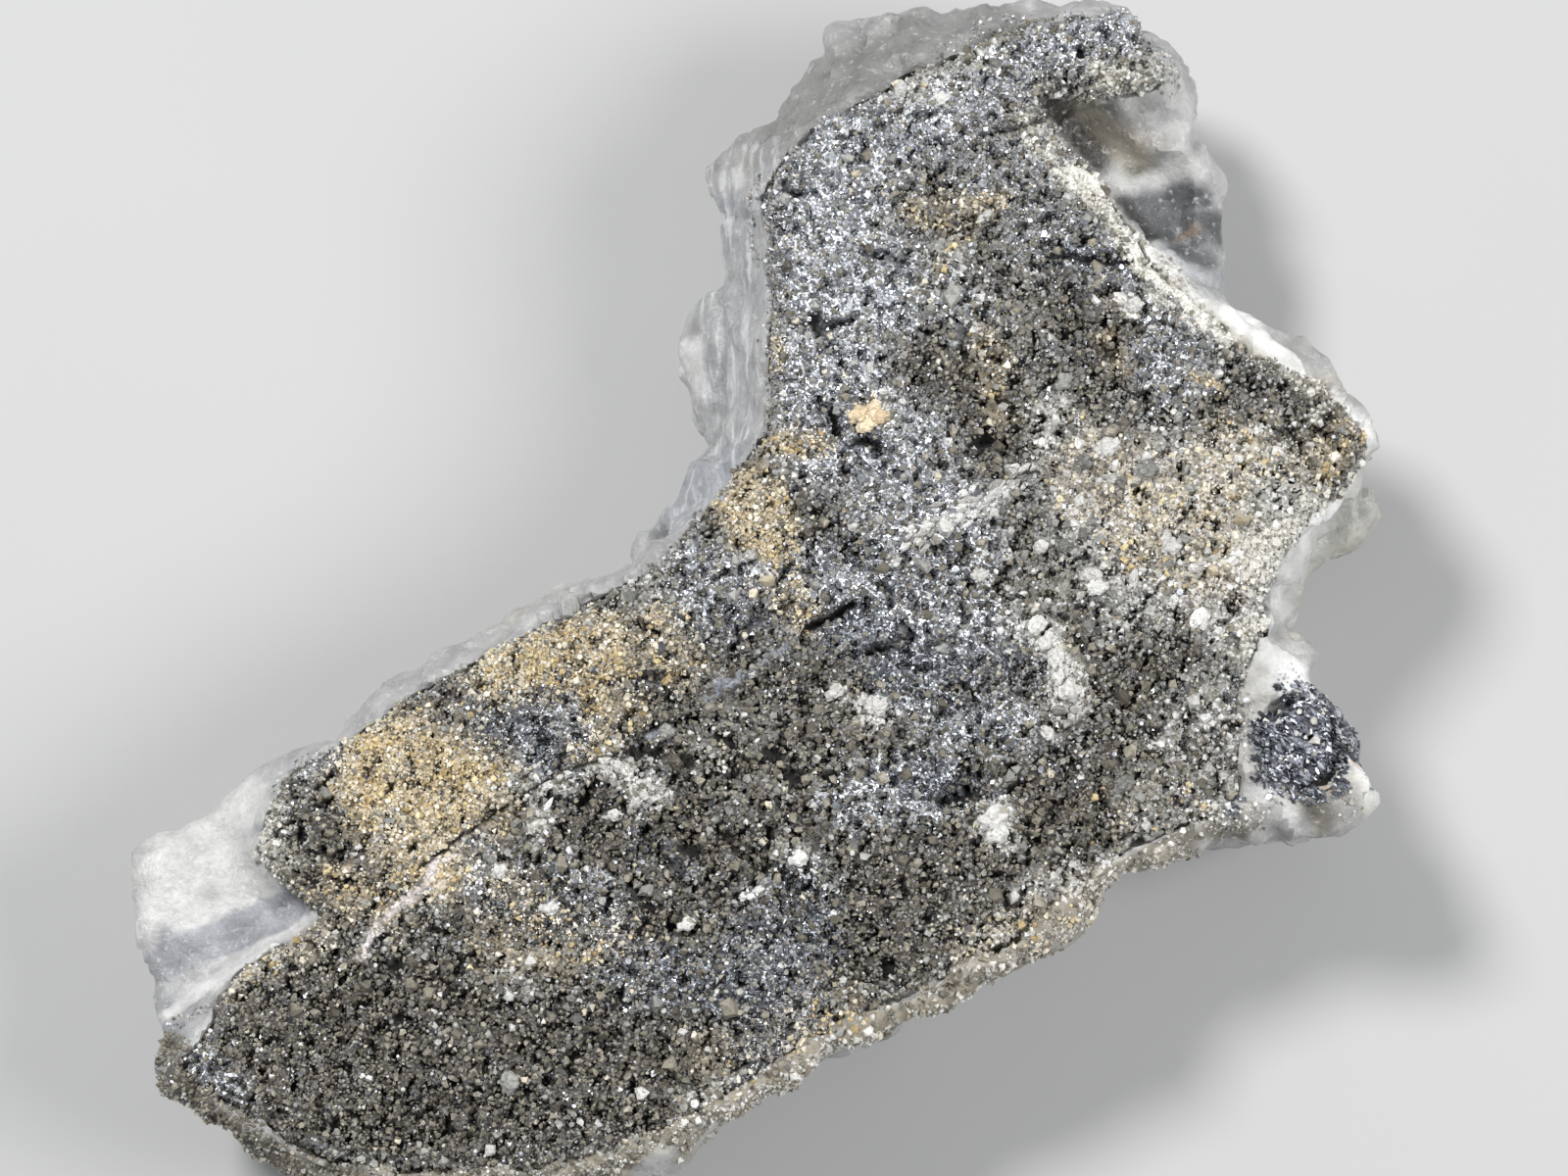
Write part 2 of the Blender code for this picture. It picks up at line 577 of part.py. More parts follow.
def build_patch():
    patch = grow_crust("corner_polybasite_patch", PATCH_EDGE, PATCH_TOP_Z,
                       PATCH_TRIANGLES, patch_relief)
    patch.data.materials.append(
        material("polybasite_plates", PATCH_COLOUR, 0.3, 0.8))


def centre_on_origin():
    """Puts the middle of the specimen's bounding box over the origin."""
    nodes = list(bpy.context.scene.objects)
    xs = [v.co.x for node in nodes for v in node.data.vertices]
    ys = [v.co.y for node in nodes for v in node.data.vertices]
    middle = Vector((min(xs) + max(xs), min(ys) + max(ys), 0.0)) / 2.0
    for node in nodes:
        for vert in node.data.vertices:
            vert.co -= middle
        node.data.update()


clear_scene()
build_matrix()
build_crust()
build_patch()
centre_on_origin()
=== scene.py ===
"""The looks of a polybasite crystal specimen: a slab of milky vein quartz
under a granular crust of dark metallic polybasite, quartz grains and iron
stain.  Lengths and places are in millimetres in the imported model's frame."""

import json
import math
import bpy
import numpy as np
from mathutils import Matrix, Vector, kdtree, noise

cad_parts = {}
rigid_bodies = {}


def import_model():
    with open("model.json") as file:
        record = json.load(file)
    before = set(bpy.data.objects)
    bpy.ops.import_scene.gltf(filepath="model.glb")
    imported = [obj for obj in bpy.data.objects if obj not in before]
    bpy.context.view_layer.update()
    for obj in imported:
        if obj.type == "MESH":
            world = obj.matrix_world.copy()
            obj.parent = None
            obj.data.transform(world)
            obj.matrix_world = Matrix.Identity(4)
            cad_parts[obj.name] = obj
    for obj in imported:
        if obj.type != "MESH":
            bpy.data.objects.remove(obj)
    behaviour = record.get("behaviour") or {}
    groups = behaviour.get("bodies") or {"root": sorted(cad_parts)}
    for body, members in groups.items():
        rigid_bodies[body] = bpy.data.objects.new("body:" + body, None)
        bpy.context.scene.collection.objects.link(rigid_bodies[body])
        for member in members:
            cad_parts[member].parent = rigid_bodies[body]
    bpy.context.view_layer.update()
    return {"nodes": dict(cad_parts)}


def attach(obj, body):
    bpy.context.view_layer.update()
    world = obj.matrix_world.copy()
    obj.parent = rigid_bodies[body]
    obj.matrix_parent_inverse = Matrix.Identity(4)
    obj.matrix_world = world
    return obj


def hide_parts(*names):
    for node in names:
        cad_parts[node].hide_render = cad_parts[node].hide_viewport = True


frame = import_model()

# ---------------------------------------------------------------------------
# The slab: one broken lump of milky vein quartz, white to blue-grey and a
# little translucent.  It broke in curved facets, is streaked along its left
# flank, and has cream and rust stain where water ran along the crust.
MM = 0.001
SLAB_VOXEL = 0.33
SLAB_FACETS = ((3.2, 0.50, 5.0), (1.2, 0.55, 17.0))     # size, slope, start
SLAB_GRAIN = (0.5, 0.03)                                # size, height
FACET_BLUNTNESS = 30.0
FLANK = ((-1.2, 22.5, -2.0, 7.0, 2.0, 1.0), (-2.2, 7.0, -4.6, 4.0, 1.4, 1.0))
FLANK_STREAKS = (0.42, 4.5, 0.12)                       # width, length, height
CALM = ((-27.5, -12.5, -27.5, -20.5, 4.8, 0.75), (15.0, 26.0, 24.5, 21.0, 2.6, 0.4))
GROOVE = ((-2.2, 16.4, -2.2, 12.9, 0.22, 1.0), (-2.2, 12.9, -2.4, 9.7, 0.25, 1.0),
          (-2.4, 9.7, -3.2, 5.5, 0.22, 0.7), (-2.6, 20.6, -0.9, 19.6, 0.25, 0.8),
          (-29.8, -19.6, -22.8, -15.9, 0.30, 0.8))
GROOVE_DEPTH = 0.30
FOOT = 0.8                      # up to this height the relief fades out
STAINED_TOP = (9.5, 2.0)        # where the stains start, and how far they fade in
BRIM = (12.0, 1.5)
OFF_FLOOR = (4.0, 4.0)
OFF_FLOOR_WAVE = (2.6, 2.5)     # size and height of the wavy line it starts at
EDGE_ANGLE = math.radians(28.0)
DRIFT = (2.1, 0.6, 0.4)         # how tints' edges wander: coarse, fine, fine's height
RAGGED = 0.8                    # and how far, in millimetres

# Tinted places: x, y to x, y along the middle, half width, strength.
MILK = (
    (18.3, 20.6, 22.8, 15.4, 0.7, 1.0), (25.6, 0.9, 28.6, 3.2, 1.2, 1.0),
    (26.5, -1.1, 26.1, 1.4, 0.8, 1.0), (25.5, -3.7, 27.5, -5.7, 1.6, 0.9),
    (25.9, -12.0, 25.3, -13.3, 1.1, 0.9), (-28.6, -13.3, -27.1, -16.3, 3.5, 1.0),
    (-30.6, -15.8, -26.7, -12.3, 2.5, 1.0), (-4.0, 13.3, -3.4, 9.7, 0.6, 1.0),
    (17.4, 26.7, 19.9, 25.6, 0.7, 0.7), (21.4, 27.5, 22.4, 24.8, 1.0, 0.6),
    (28.2, 8.6, 29.3, 9.7, 0.4, 0.6), (-30.1, -21.9, -22.6, -17.2, 0.35, 1.0),
    (-1.8, 23.0, -1.2, 22.2, 0.5, 0.9), (-2.1, 16.0, -2.0, 14.4, 0.3, 0.7),
    (-1.3, 10.7, -1.2, 9.7, 0.2, 0.8), (-2.2, 9.1, -1.9, 8.1, 0.25, 0.9),
    (-6.0, 2.6, -10.0, 0.2, 0.5, 0.7), (19.2, 22.6, 22.4, 22.9, 0.5, 0.6),
)
LEDGE_BAND = (
    (-30.4, -19.4, -22.6, -16.2, 1.0, 1.0), (-30.3, -18.0, -28.9, -18.7, 0.5, 0.6),
)
BLUE_GREY = (
    (-1.4, 19.0, -1.9, 7.0, 1.3, 0.35), (-2.2, 7.0, -4.6, 4.0, 1.3, 0.9),
    (-0.9, 17.2, -1.1, 8.8, 0.5, 0.45), (21.6, 18.4, 23.4, 17.0, 1.2, 0.7),
    (-2.3, 21.4, -0.5, 19.8, 0.5, 1.0), (0.0, 20.4, 0.9, 19.8, 0.25, 1.1),
    (24.2, -7.4, 24.0, -11.0, 0.9, 0.5), (-31.0, -21.5, -30.0, -23.5, 0.8, 0.7),
    (-23.6, -10.4, -25.9, -13.0, 0.3, 0.8), (-25.9, -13.0, -22.6, -16.6, 0.3, 0.8),
)
CROWN_GREY = (
    (0.5, 24.6, 8.0, 29.2, 2.2, 1.0), (5.0, 26.6, 12.0, 30.2, 1.5, 1.0),
    (-2.4, 23.6, 2.0, 25.6, 1.0, 0.6),
)
# A grey quartz block in the hollow; its very dark tint is partly real grey and partly painted
# shade.
GREY_BLOCK_AND_SHADE = (
    (19.4, 20.9, 22.9, 21.3, 0.7, 1.0), (20.2, 19.9, 23.5, 19.6, 1.0, 1.0),
    (21.7, 18.4, 23.3, 18.1, 0.6, 0.9),
)
EAST_RIM = (
    (28.8, 9.3, 31.4, 6.6, 0.7, 0.8), (31.2, 6.0, 28.2, 2.0, 0.8, 1.0),
    (28.2, 2.0, 26.6, -0.8, 0.7, 0.9),
    (27.4, -5.2, 30.4, -9.4, 0.9, 1.0), (30.6, -10.0, 31.4, -11.6, 0.7, 0.8),
    (22.6, 27.2, 24.4, 22.6, 1.0, 0.7), (23.8, 14.4, 27.6, 11.2, 0.8, 0.8),
    (20.4, 17.3, 25.6, 13.2, 0.85, 0.9), (17.6, 22.9, 21.4, 22.6, 0.40, 0.3),
    (-1.5, 14.2, -2.0, 9.2, 0.80, 0.22),
)
EAST_WALL = (
    (32.2, 8.0, 31.6, 5.4, 1.0, 1.0), (31.6, 5.4, 28.8, 1.4, 1.0, 1.0),
    (28.6, 1.0, 27.6, -2.4, 0.8, 0.8), (27.2, 12.4, 29.6, 10.0, 0.7, 0.5),
)
BRIM_CRUST = (
    (-30.2, -24.2, -30.7, -25.7, 0.8, 1.0), (-30.7, -25.7, -28.0, -28.0, 0.8, 1.0),
    (-28.0, -28.0, -24.5, -29.8, 0.8, 1.0), (-24.5, -29.8, -21.5, -30.8, 0.6, 0.7),
    (-29.8, -24.6, -28.9, -26.4, 0.8, 1.0), (-28.9, -26.4, -27.2, -27.8, 0.8, 1.0),
    (-27.2, -27.8, -24.2, -29.6, 0.8, 1.0), (-24.2, -29.5, -21.5, -30.2, 0.6, 0.7),
)
RIM_LINE = (
    (-30.6, -22.4, -22.8, -17.3, 0.30, 1.0), (24.6, 27.8, 25.6, 20.0, 0.5, 0.5),
)
CREAM = (
    (13.6, 23.8, 15.8, 21.4, 0.45, 0.7), (15.9, 21.6, 18.7, 18.3, 0.65, 0.9),
    (18.7, 18.0, 20.9, 15.4, 0.9, 0.9), (20.9, 15.4, 25.8, 12.0, 1.1, 0.9),
    (25.8, 12.3, 28.8, 10.4, 0.8, 0.8), (28.6, 2.4, 30.7, 4.5, 0.8, 0.4),
    (15.9, -16.2, 20.4, -14.2, 0.8, 0.8), (2.1, -25.6, 12.0, -20.3, 0.7, 0.6),
    (22.4, -12.6, 24.4, -12.1, 0.7, 0.8), (-1.5, 22.6, 3.0, 26.4, 0.7, 0.4),
    (30.4, -10.0, 31.0, -11.6, 0.8, 0.9), (-6.0, 2.6, -14.0, -2.2, 0.7, 0.4),
)
SMOKY_QUARTZ = (
    (22.6, -5.0, 24.6, -6.8, 1.5, 0.9), (22.9, -7.8, 24.4, -9.6, 1.3, 0.8),
    (24.0, -3.4, 24.6, -4.4, 0.8, 0.6), (27.0, -11.2, 28.8, -11.0, 0.9, 0.9),
)
HOLLOW_SHADE = (
    (14.6, 26.6, 17.2, 25.6, 0.8, 0.9), (16.2, 25.3, 19.6, 23.5, 0.9, 1.0),
    (18.4, 24.6, 20.6, 23.9, 0.5, 0.5),
)
DEEP_SHADE = (
    (13.6, 26.1, 15.6, 25.0, 0.65, 1.0), (15.6, 25.0, 17.6, 23.3, 0.75, 1.0),
    (18.8, 21.2, 20.2, 19.2, 0.45, 0.7),
)
CORNER_SHADE = (
    (27.2, -11.3, 28.2, -12.3, 0.6, 0.9), (22.6, -12.8, 24.2, -13.1, 0.4, 0.9),
)
LOWER_BORDER = (
    (-22.0, -30.4, -9.0, -30.0, 1.0, 0.9), (-9.0, -30.0, 1.0, -25.5, 1.0, 1.0),
    (1.0, -25.5, 11.0, -20.9, 1.0, 1.0), (11.0, -20.9, 17.0, -16.0, 1.0, 0.9),
    (17.0, -16.0, 21.5, -13.9, 0.8, 0.8),
)
RUST = (
    (21.7, 19.1, 22.6, 19.4, 0.24, 0.7), (0.4, 11.1, 0.7, 10.6, 0.25, 1.0),
    (30.2, -9.0, 30.3, -9.8, 0.28, 0.6), (28.4, -10.9, 29.3, -11.1, 0.28, 0.5),
)


def only(piece):
    """Selects one piece and nothing else."""
    bpy.ops.object.select_all(action='DESELECT')
    piece.select_set(True)
    bpy.context.view_layer.objects.active = piece


def shaped(piece, kind, **settings):
    """Adds a modifier and applies it."""
    only(piece)
    bpy.ops.object.modifier_add(type=kind)
    step = piece.modifiers[-1]
    for name, value in settings.items():
        setattr(step, name, value)
    bpy.ops.object.modifier_apply(modifier=step.name)


def node_copy(node, name):
    """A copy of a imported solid, with its loose triangles joined up."""
    piece = bpy.data.objects.new(name, frame["nodes"][node].data.copy())
    piece.data.name = name
    bpy.context.scene.collection.objects.link(piece)
    only(piece)
    bpy.ops.object.mode_set(mode='EDIT')
    bpy.ops.mesh.select_all(action='SELECT')
    bpy.ops.mesh.remove_doubles(threshold=0.002 * MM)
    bpy.ops.object.mode_set(mode='OBJECT')
    piece.data.materials.clear()
    return piece


def corners(piece):
    """The piece's corner points, in millimetres."""
    found = np.empty(len(piece.data.vertices) * 3, np.float32)
    piece.data.vertices.foreach_get("co", found)
    return found.reshape(-1, 3).astype(float) / MM


def one_skin(piece):
    """Keeps the outer skin, without the bubbles that a remesh left inside."""
    only(piece)
    outermost = int(np.argmax(corners(piece)[:, 0]))
    bpy.ops.object.mode_set(mode='EDIT')
    bpy.ops.mesh.select_all(action='DESELECT')
    bpy.ops.object.mode_set(mode='OBJECT')
    piece.data.vertices[outermost].select = True
    bpy.ops.object.mode_set(mode='EDIT')
    bpy.ops.mesh.select_linked()
    bpy.ops.mesh.select_all(action='INVERT')
    bpy.ops.mesh.delete(type='VERT')
    bpy.ops.object.mode_set(mode='OBJECT')


def facings(piece):
    """The way each corner of the piece faces."""
    found = np.empty(len(piece.data.vertices) * 3, np.float32)
    piece.data.vertex_normals.foreach_get("vector", found)
    return found.reshape(-1, 3).astype(float)


def put_corners(piece, points):
    piece.data.vertices.foreach_set("co", (points * MM).astype(np.float32).ravel())
    piece.data.update()


def swell(points, size, start=0.0):
    """Smooth noise of that size, from about -1 to 1."""
    shifted = points / size + start
    return np.array([noise.noise(p) for p in map(Vector, shifted)])


def facets(points, size, slope, start):
    """Broken-stone relief: each cell tilts its own way, and the faces meet
    in blunt edges."""
    middle = Vector((0.5, 0.5, 0.5))
    rise = []
    for q in map(Vector, points / size + start):
        far, centres = noise.voronoi(q)
        total = weights = 0.0
        for away, centre in zip(far, centres):
            weight = math.exp(-FACET_BLUNTNESS * (away - far[0]))
            lean = noise.cell_vector(centre * 7.3) - middle
            total += weight * (q - centre).dot(lean)
            weights += weight
        rise.append(total / weights)
    return np.array(rise) * slope * size


def held(values):
    """The values, held between 0 and 1."""
    return np.clip(values, 0.0, 1.0)


def rising(values, start, over):
    """0 up to start, 1 from start + over on, and straight in between."""
    return held((values - start) / over)


class Spread:
    """Points of a surface, and how strongly each lies in a group of tinted
    places, whose edges wander."""

    def __init__(self, points, drift=None):
        self.points = points
        self.found = {}
        if drift is None:
            coarse, fine, height = DRIFT
            drift = np.stack([swell(points, coarse, start)
                              + height * swell(points, fine, start + 10.0)
                              for start in (3.0, 41.0)], axis=1)
        self.drift = drift

    def chosen(self, which):
        return Spread(self.points[which], self.drift[which])

    def within(self, places, ragged=RAGGED):
        key = (id(places), ragged)
        if key not in self.found:
            flat = self.points[:, :2] + ragged * self.drift
            total = np.zeros(len(flat))
            for ax, ay, bx, by, width, strength in places:
                along = np.array([bx - ax, by - ay])
                off = flat - (ax, ay)
                share = held(off @ along / max(along @ along, 1e-9))
                far = np.linalg.norm(off - share[:, None] * along, axis=1)
                fade = held(1.5 - far / width)
                total = np.maximum(total, strength * fade * fade * (3.0 - 2.0 * fade))
            self.found[key] = total
        return self.found[key]

    def weighed(self, start, *layers):
        """The start, with a weight times the share in its places added for
        each layer."""
        total = start
        for weight, places in layers:
            total = total + weight * self.within(places)
        return total

    def swell(self, size, start):
        return swell(self.points, size, start)


def crisp(share):
    """The same places with sharper edges."""
    return held((share - 0.5) * 3.0 + 0.5)


def painted(count, base, *layers):
    """A colour for each point: the base, then each layer over its places."""
    colours = np.tile(np.array(base), (count, 1))
    for colour, share in layers:
        colours += (np.array(colour) - colours) * held(share)[:, None]
    return colours


def keep_tint(piece, colours):
    """Stores a colour for each corner, which the finishes read."""
    layer = piece.data.attributes.new("tint", 'FLOAT_COLOR', 'POINT')
    colours = np.concatenate([colours, np.ones((len(colours), 1))], axis=1)
    layer.data.foreach_set("color", colours.astype(np.float32).ravel())


def keep_share(piece, name, shares):
    """Stores a number for each corner, which the finishes read."""
    layer = piece.data.attributes.new(name, 'FLOAT', 'POINT')
    layer.data.foreach_set("value", shares.astype(np.float32))


class Socket:
    """An output of a material node.  Arithmetic on it adds Math nodes, and
    node() adds any other node beside it."""

    def __init__(self, tree, out=None):
        self.tree = tree
        self.out = out

    def node(self, kind, sockets=None, settings=None, output=0):
        made = self.tree.nodes.new(kind)
        for name, value in (settings or {}).items():
            setattr(made, name, value)
        for name, value in (sockets or {}).items():
            if isinstance(value, Socket):
                self.tree.links.new(value.out, made.inputs[name])
            else:
                made.inputs[name].default_value = value
        return Socket(self.tree, made.outputs[output])

    def maths(self, operation, *terms, kind="ShaderNodeMath"):
        return self.node(kind, dict(enumerate(terms)), {"operation": operation})

    def vectors(self, operation, *terms):
        return self.maths(operation, *terms, kind="ShaderNodeVectorMath")

    def __add__(self, other):
        return self.maths("ADD", self, other)

    def __rsub__(self, other):
        return self.maths("SUBTRACT", other, self)

    def __mul__(self, other):
        return self.maths("MULTIPLY", self, other)

    def between(self, low, high):
        """0 at low, 1 at high, held to that range."""
        return self.node("ShaderNodeMapRange",
                         {"Value": self, "From Min": low, "From Max": high})

    def blended(self, how, share, first, second):
        return self.node("ShaderNodeMix", {0: share, 6: first, 7: second},
                         {"data_type": 'RGBA', "blend_type": how}, 2)

    def mixed(self, first, second):
        """A colour from first to second, by this share."""
        return self.blended('MIX', self, first, second)

    def shaded(self, colour):
        """The colour, darkened or lightened by this amount."""
        return self.blended('MULTIPLY', 1.0, colour, self)

    def attribute(self, name, output="Fac"):
        return self.node("ShaderNodeAttribute", None, {"attribute_name": name}, output)

    def place(self):
        return self.node("ShaderNodeTexCoord", output="Object")

    def clouds(self, spot, size, detail=3.0, rough=0.55):
        return self.node("ShaderNodeTexNoise",
                         {"Vector": spot, "Scale": 1.0 / (size * MM),
                          "Detail": detail, "Roughness": rough}, output="Fac")

    def cells(self, spot, size, output="Distance"):
        return self.node("ShaderNodeTexVoronoi",
                         {"Vector": spot, "Scale": 1.0 / (size * MM)}, output=output)

    def bumped(self, height, strength, distance):
        return self.node("ShaderNodeBump", {"Strength": strength, "Height": height,
                                            "Distance": distance * MM})


def new_finish(name, **constants):
    """A Principled finish: its material, a Socket to build on, and a function
    that links a Socket to one of the shader's inputs."""
    made = bpy.data.materials.new(name)
    made.use_nodes = True
    tree = made.node_tree
    shader = tree.nodes["Principled BSDF"]
    for socket, value in constants.items():
        shader.inputs[socket.replace("_", " ")].default_value = value

    def feed(socket, value):
        tree.links.new(value.out, shader.inputs[socket])
    return made, Socket(tree), feed


def quartz_finish():
    """Milky quartz: cloudy veils, healed cracks and white flakes over a grey
    body, drawn out into streaks on the flank, sugary where it broke."""
    made, paint, feed = new_finish(
        "milky_quartz", Subsurface_Weight=0.3, Subsurface_Scale=0.8 * MM,
        Subsurface_Radius=(1.0, 0.95, 0.85), IOR=1.54)
    spot = paint.place()
    veil = paint.clouds(spot, 1.5, 5.0, 0.6).between(0.33, 0.67)
    fine = paint.clouds(spot, 0.32, 3.0, 0.7)
    drawn_out = spot.vectors("MULTIPLY", spot, (1.0, 0.13, 1.0))
    streak = paint.clouds(drawn_out, 0.55, 4.0, 0.6)
    streaked = paint.attribute("streaked")
    flakes = paint.clouds(spot, 0.45, 4.0, 0.7).between(0.58, 0.66)
    dusty = paint.clouds(spot, 0.28, 2.0, 0.7).between(0.58, 0.68)
    body = (veil * 0.40 + fine * 0.30 + 0.65).shaded(paint.attribute("tint", "Color"))
    for share, colour in (
            (streaked * streak.between(0.52, 0.64) * 0.60, (0.74, 0.75, 0.76, 1.0)),
            (streaked * (1.0 - streak.between(0.34, 0.44)) * 0.50, (0.26, 0.28, 0.31, 1.0)),
            (flakes * 0.35, (0.80, 0.80, 0.78, 1.0)),
            (dusty * 0.22, (0.20, 0.19, 0.17, 1.0))):
        body = share.mixed(body, colour)
    feed("Base Color", body)
    feed("Roughness", fine * 0.35 + 0.20)
    grit = paint.cells(spot, 0.40) * 0.6 + paint.clouds(spot, 0.2, 3.0, 0.7)
    feed("Normal", paint.bumped(grit + streaked * streak * 1.2, 0.6, 0.10))
    return made


slab = node_copy("quartz_matrix", "milky_quartz_slab")
shaped(slab, 'REMESH', mode='VOXEL', voxel_size=SLAB_VOXEL * MM)
one_skin(slab)
shaped(slab, 'CORRECTIVE_SMOOTH', iterations=2, use_pin_boundary=False)
spread = Spread(corners(slab))
points = spread.points
flank = spread.within(FLANK)
push = sum(facets(points, *each) for each in SLAB_FACETS)
push *= 1.0 - np.maximum(spread.within(CALM), 0.5 * flank)
push += SLAB_GRAIN[1] * swell(points, SLAB_GRAIN[0])
across, along, height = FLANK_STREAKS
push += height * swell(points / (across, along, across), 1.0, 9.0) * flank
push -= GROOVE_DEPTH * spread.within(GROOVE, 0.3)
push *= rising(points[:, 2], 0.0, FOOT)
upper = rising(points[:, 2], *STAINED_TOP)
brim = rising(points[:, 2], *BRIM)
wave_size, wave_height = OFF_FLOOR_WAVE
off_floor = rising(points[:, 2] - wave_height * spread.swell(wave_size, 19.0), *OFF_FLOOR)
keep_share(slab, "streaked", flank)
keep_tint(slab, painted(
    len(points), (0.39, 0.39, 0.385),
    ((0.56, 0.53, 0.46), 0.9 * upper * spread.within(CREAM)),
    ((0.29, 0.255, 0.195), upper * spread.within(LOWER_BORDER)),
    ((0.56, 0.56, 0.545), spread.within(MILK)),
    ((0.35, 0.36, 0.38), spread.within(BLUE_GREY)),
    ((0.245, 0.242, 0.235), spread.within(CROWN_GREY)),
    ((0.30, 0.305, 0.325), off_floor * crisp(spread.within(LEDGE_BAND, 0.15))),
    # grey quartz in the hollow, darkened with painted shade
    ((0.090, 0.095, 0.100), off_floor * spread.within(GREY_BLOCK_AND_SHADE, 0.4)),
    ((0.37, 0.36, 0.32), spread.within(EAST_WALL, 0.4)),
    ((0.82, 0.82, 0.80), (0.25 + 0.75 * brim) * spread.within(EAST_RIM, 0.5)),
    ((0.40, 0.385, 0.35), upper * spread.within(SMOKY_QUARTZ)),
    ((0.26, 0.24, 0.20), off_floor * spread.within(HOLLOW_SHADE, 0.5)),
    ((0.16, 0.145, 0.12), upper * spread.within(CORNER_SHADE, 0.3)),
    ((0.035, 0.030, 0.025), off_floor * spread.within(DEEP_SHADE, 0.3)),
    ((0.66, 0.66, 0.65), upper * crisp(spread.within(RIM_LINE, 0.2))),
    ((0.40, 0.24, 0.11), upper * spread.within(RUST, 0.3)),
    ((0.11, 0.10, 0.085), brim * spread.within(BRIM_CRUST, 0.5))))
points = points + facings(slab) * push[:, None]
points[:, 2] = np.maximum(points[:, 2], 0.0)
put_corners(slab, points)
shaped(slab, 'SMOOTH', factor=0.5, iterations=1)
only(slab)
bpy.ops.object.shade_smooth_by_angle(angle=EDGE_ANGLE)
slab.data.materials.append(quartz_finish())
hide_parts("quartz_matrix")
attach(slab, "root")

# ---------------------------------------------------------------------------
# The crust's ground: the fine dark mass that the grains and plates of the
# crust are set in.  It fills its seat in the quartz, is pitted by small vugs,
# and its colour follows what grew there: metal, brown grains, stain, quartz.
GROUND_VOXEL = 0.175
SEAT_FILL = (0.42, 0.50)        # its sides reach out this far, to this much more
PATCH_FILL = (0.05, 0.70)
FILL_WAVES = (1.6, 0.7)         # coarse and fine waves that more comes in
GROUND_SINK = 0.14              # and its underside reaches down this far
UNDERSIDE_TOP = 13.75           # what lies lower is out of sight, and is made plainer
UNDERSIDE_KEPT = 0.60           # share of its faces that stay
SIDE_SLOPE = (0.80, 0.3)        # it is a side from this slope on, fully this much on
GROUND_TOP = (13.9, 0.4)        # where its relief starts, and how far it fades in
GROUND_LUMPS = ((0.75, 0.16), (2.0, 0.24))              # size, height
PIT_SIZES = ((0.62, 80.0, 0.275), (0.36, 90.0, 0.335))    # size, start, needed
PIT_DEPTH = 0.65
PIT_EDGE = 0.07                 # the smaller, the steeper
CRACK_DEPTH = 0.25
VEIN_RISE = 0.05
FACET_SIZE = 0.12

SILVERY = (
    (3.6, 23.8, 3.6, 14.9, 3.0, 0.9), (4.1, 18.0, 6.1, 14.9, 2.2, 1.0),
    (2.1, 21.7, 9.2, 24.3, 1.8, 0.8), (9.2, 24.8, 12.8, 25.6, 1.5, 0.6),
    (3.1, 10.7, 4.1, 7.6, 2.8, 0.9), (6.1, 6.6, 9.1, 1.4, 3.0, 0.78),
    (9.2, 15.9, 11.2, 13.3, 1.5, 0.4), (20.8, 13.8, 21.2, 10.7, 1.7, 0.7),
    (14.3, 27.7, 20.5, 29.8, 1.4, 0.85), (12.8, 28.0, 14.3, 27.0, 0.8, 0.8),
    (-24.6, -10.3, -21.6, -9.3, 0.6, 0.7),
    (-2.9, -0.6, 3.1, -0.6, 2.2, 0.7), (5.1, -1.1, 10.1, -2.7, 2.5, 0.9),
    (7.1, -3.7, 8.0, -6.7, 1.5, 0.8), (9.5, -7.7, 13.5, -7.7, 1.2, 0.8),
    (5.0, -11.3, 8.5, -10.8, 1.7, 0.9), (-13.3, -7.7, -9.9, -7.7, 1.5, 0.7),
    (-6.8, -20.3, -2.4, -20.8, 1.4, 0.5), (1.1, -17.3, 0.6, -24.7, 2.1, 0.45),
    (-29.4, -24.7, -26.9, -27.2, 1.5, 0.9), (-13.8, -15.3, -8.8, -16.8, 1.8, 0.5),
    (-23.7, -10.3, -25.2, -13.8, 1.0, 0.5), (14.2, 18.0, 18.3, 16.4, 2.0, 0.4),
    (8.2, 21.2, 15.3, 21.7, 2.2, 0.35), (-1.0, 20.1, 0.6, 15.9, 1.2, 0.8),
    (-7.8, -18.3, -10.8, -17.3, 1.1, 0.4), (-28.3, -28.2, -21.9, -30.1, 0.8, 0.5),
)
DARK_STEEL = (
    (-6.8, -20.0, -0.9, -21.3, 1.4, 0.9), (2.1, -15.3, 3.0, -18.8, 1.2, 0.9),
    (0.6, -18.3, 0.1, -25.2, 1.5, 0.8), (7.5, -10.3, 11.0, -10.8, 1.1, 0.8),
    (-13.8, -7.7, -10.4, -9.3, 1.3, 0.9), (-10.9, -5.7, -4.4, -5.2, 0.9, 0.6),
    (-3.9, -2.7, 0.6, -1.6, 1.1, 0.5), (5.1, -2.7, 9.0, -5.7, 1.5, 0.8),
    (7.5, -5.7, 13.0, -4.7, 1.2, 0.7), (15.2, 17.0, 19.3, 16.4, 0.8, 0.9),
    (3.1, 8.6, 6.1, 6.6, 1.0, 0.6), (2.1, -17.3, -3.9, -20.8, 1.0, 0.5),
    (20.9, -10.8, 23.9, -12.3, 0.7, 0.6), (-6.4, -13.8, -3.9, -14.8, 0.8, 0.6),
    (-28.4, -23.7, -30.4, -23.2, 0.7, 0.7), (4.1, 1.4, 9.1, -0.6, 1.0, 0.4),
    (-12.8, -17.3, -6.8, -17.8, 1.2, 0.5), (20.2, 11.7, 22.3, 12.8, 0.7, 0.6),
)
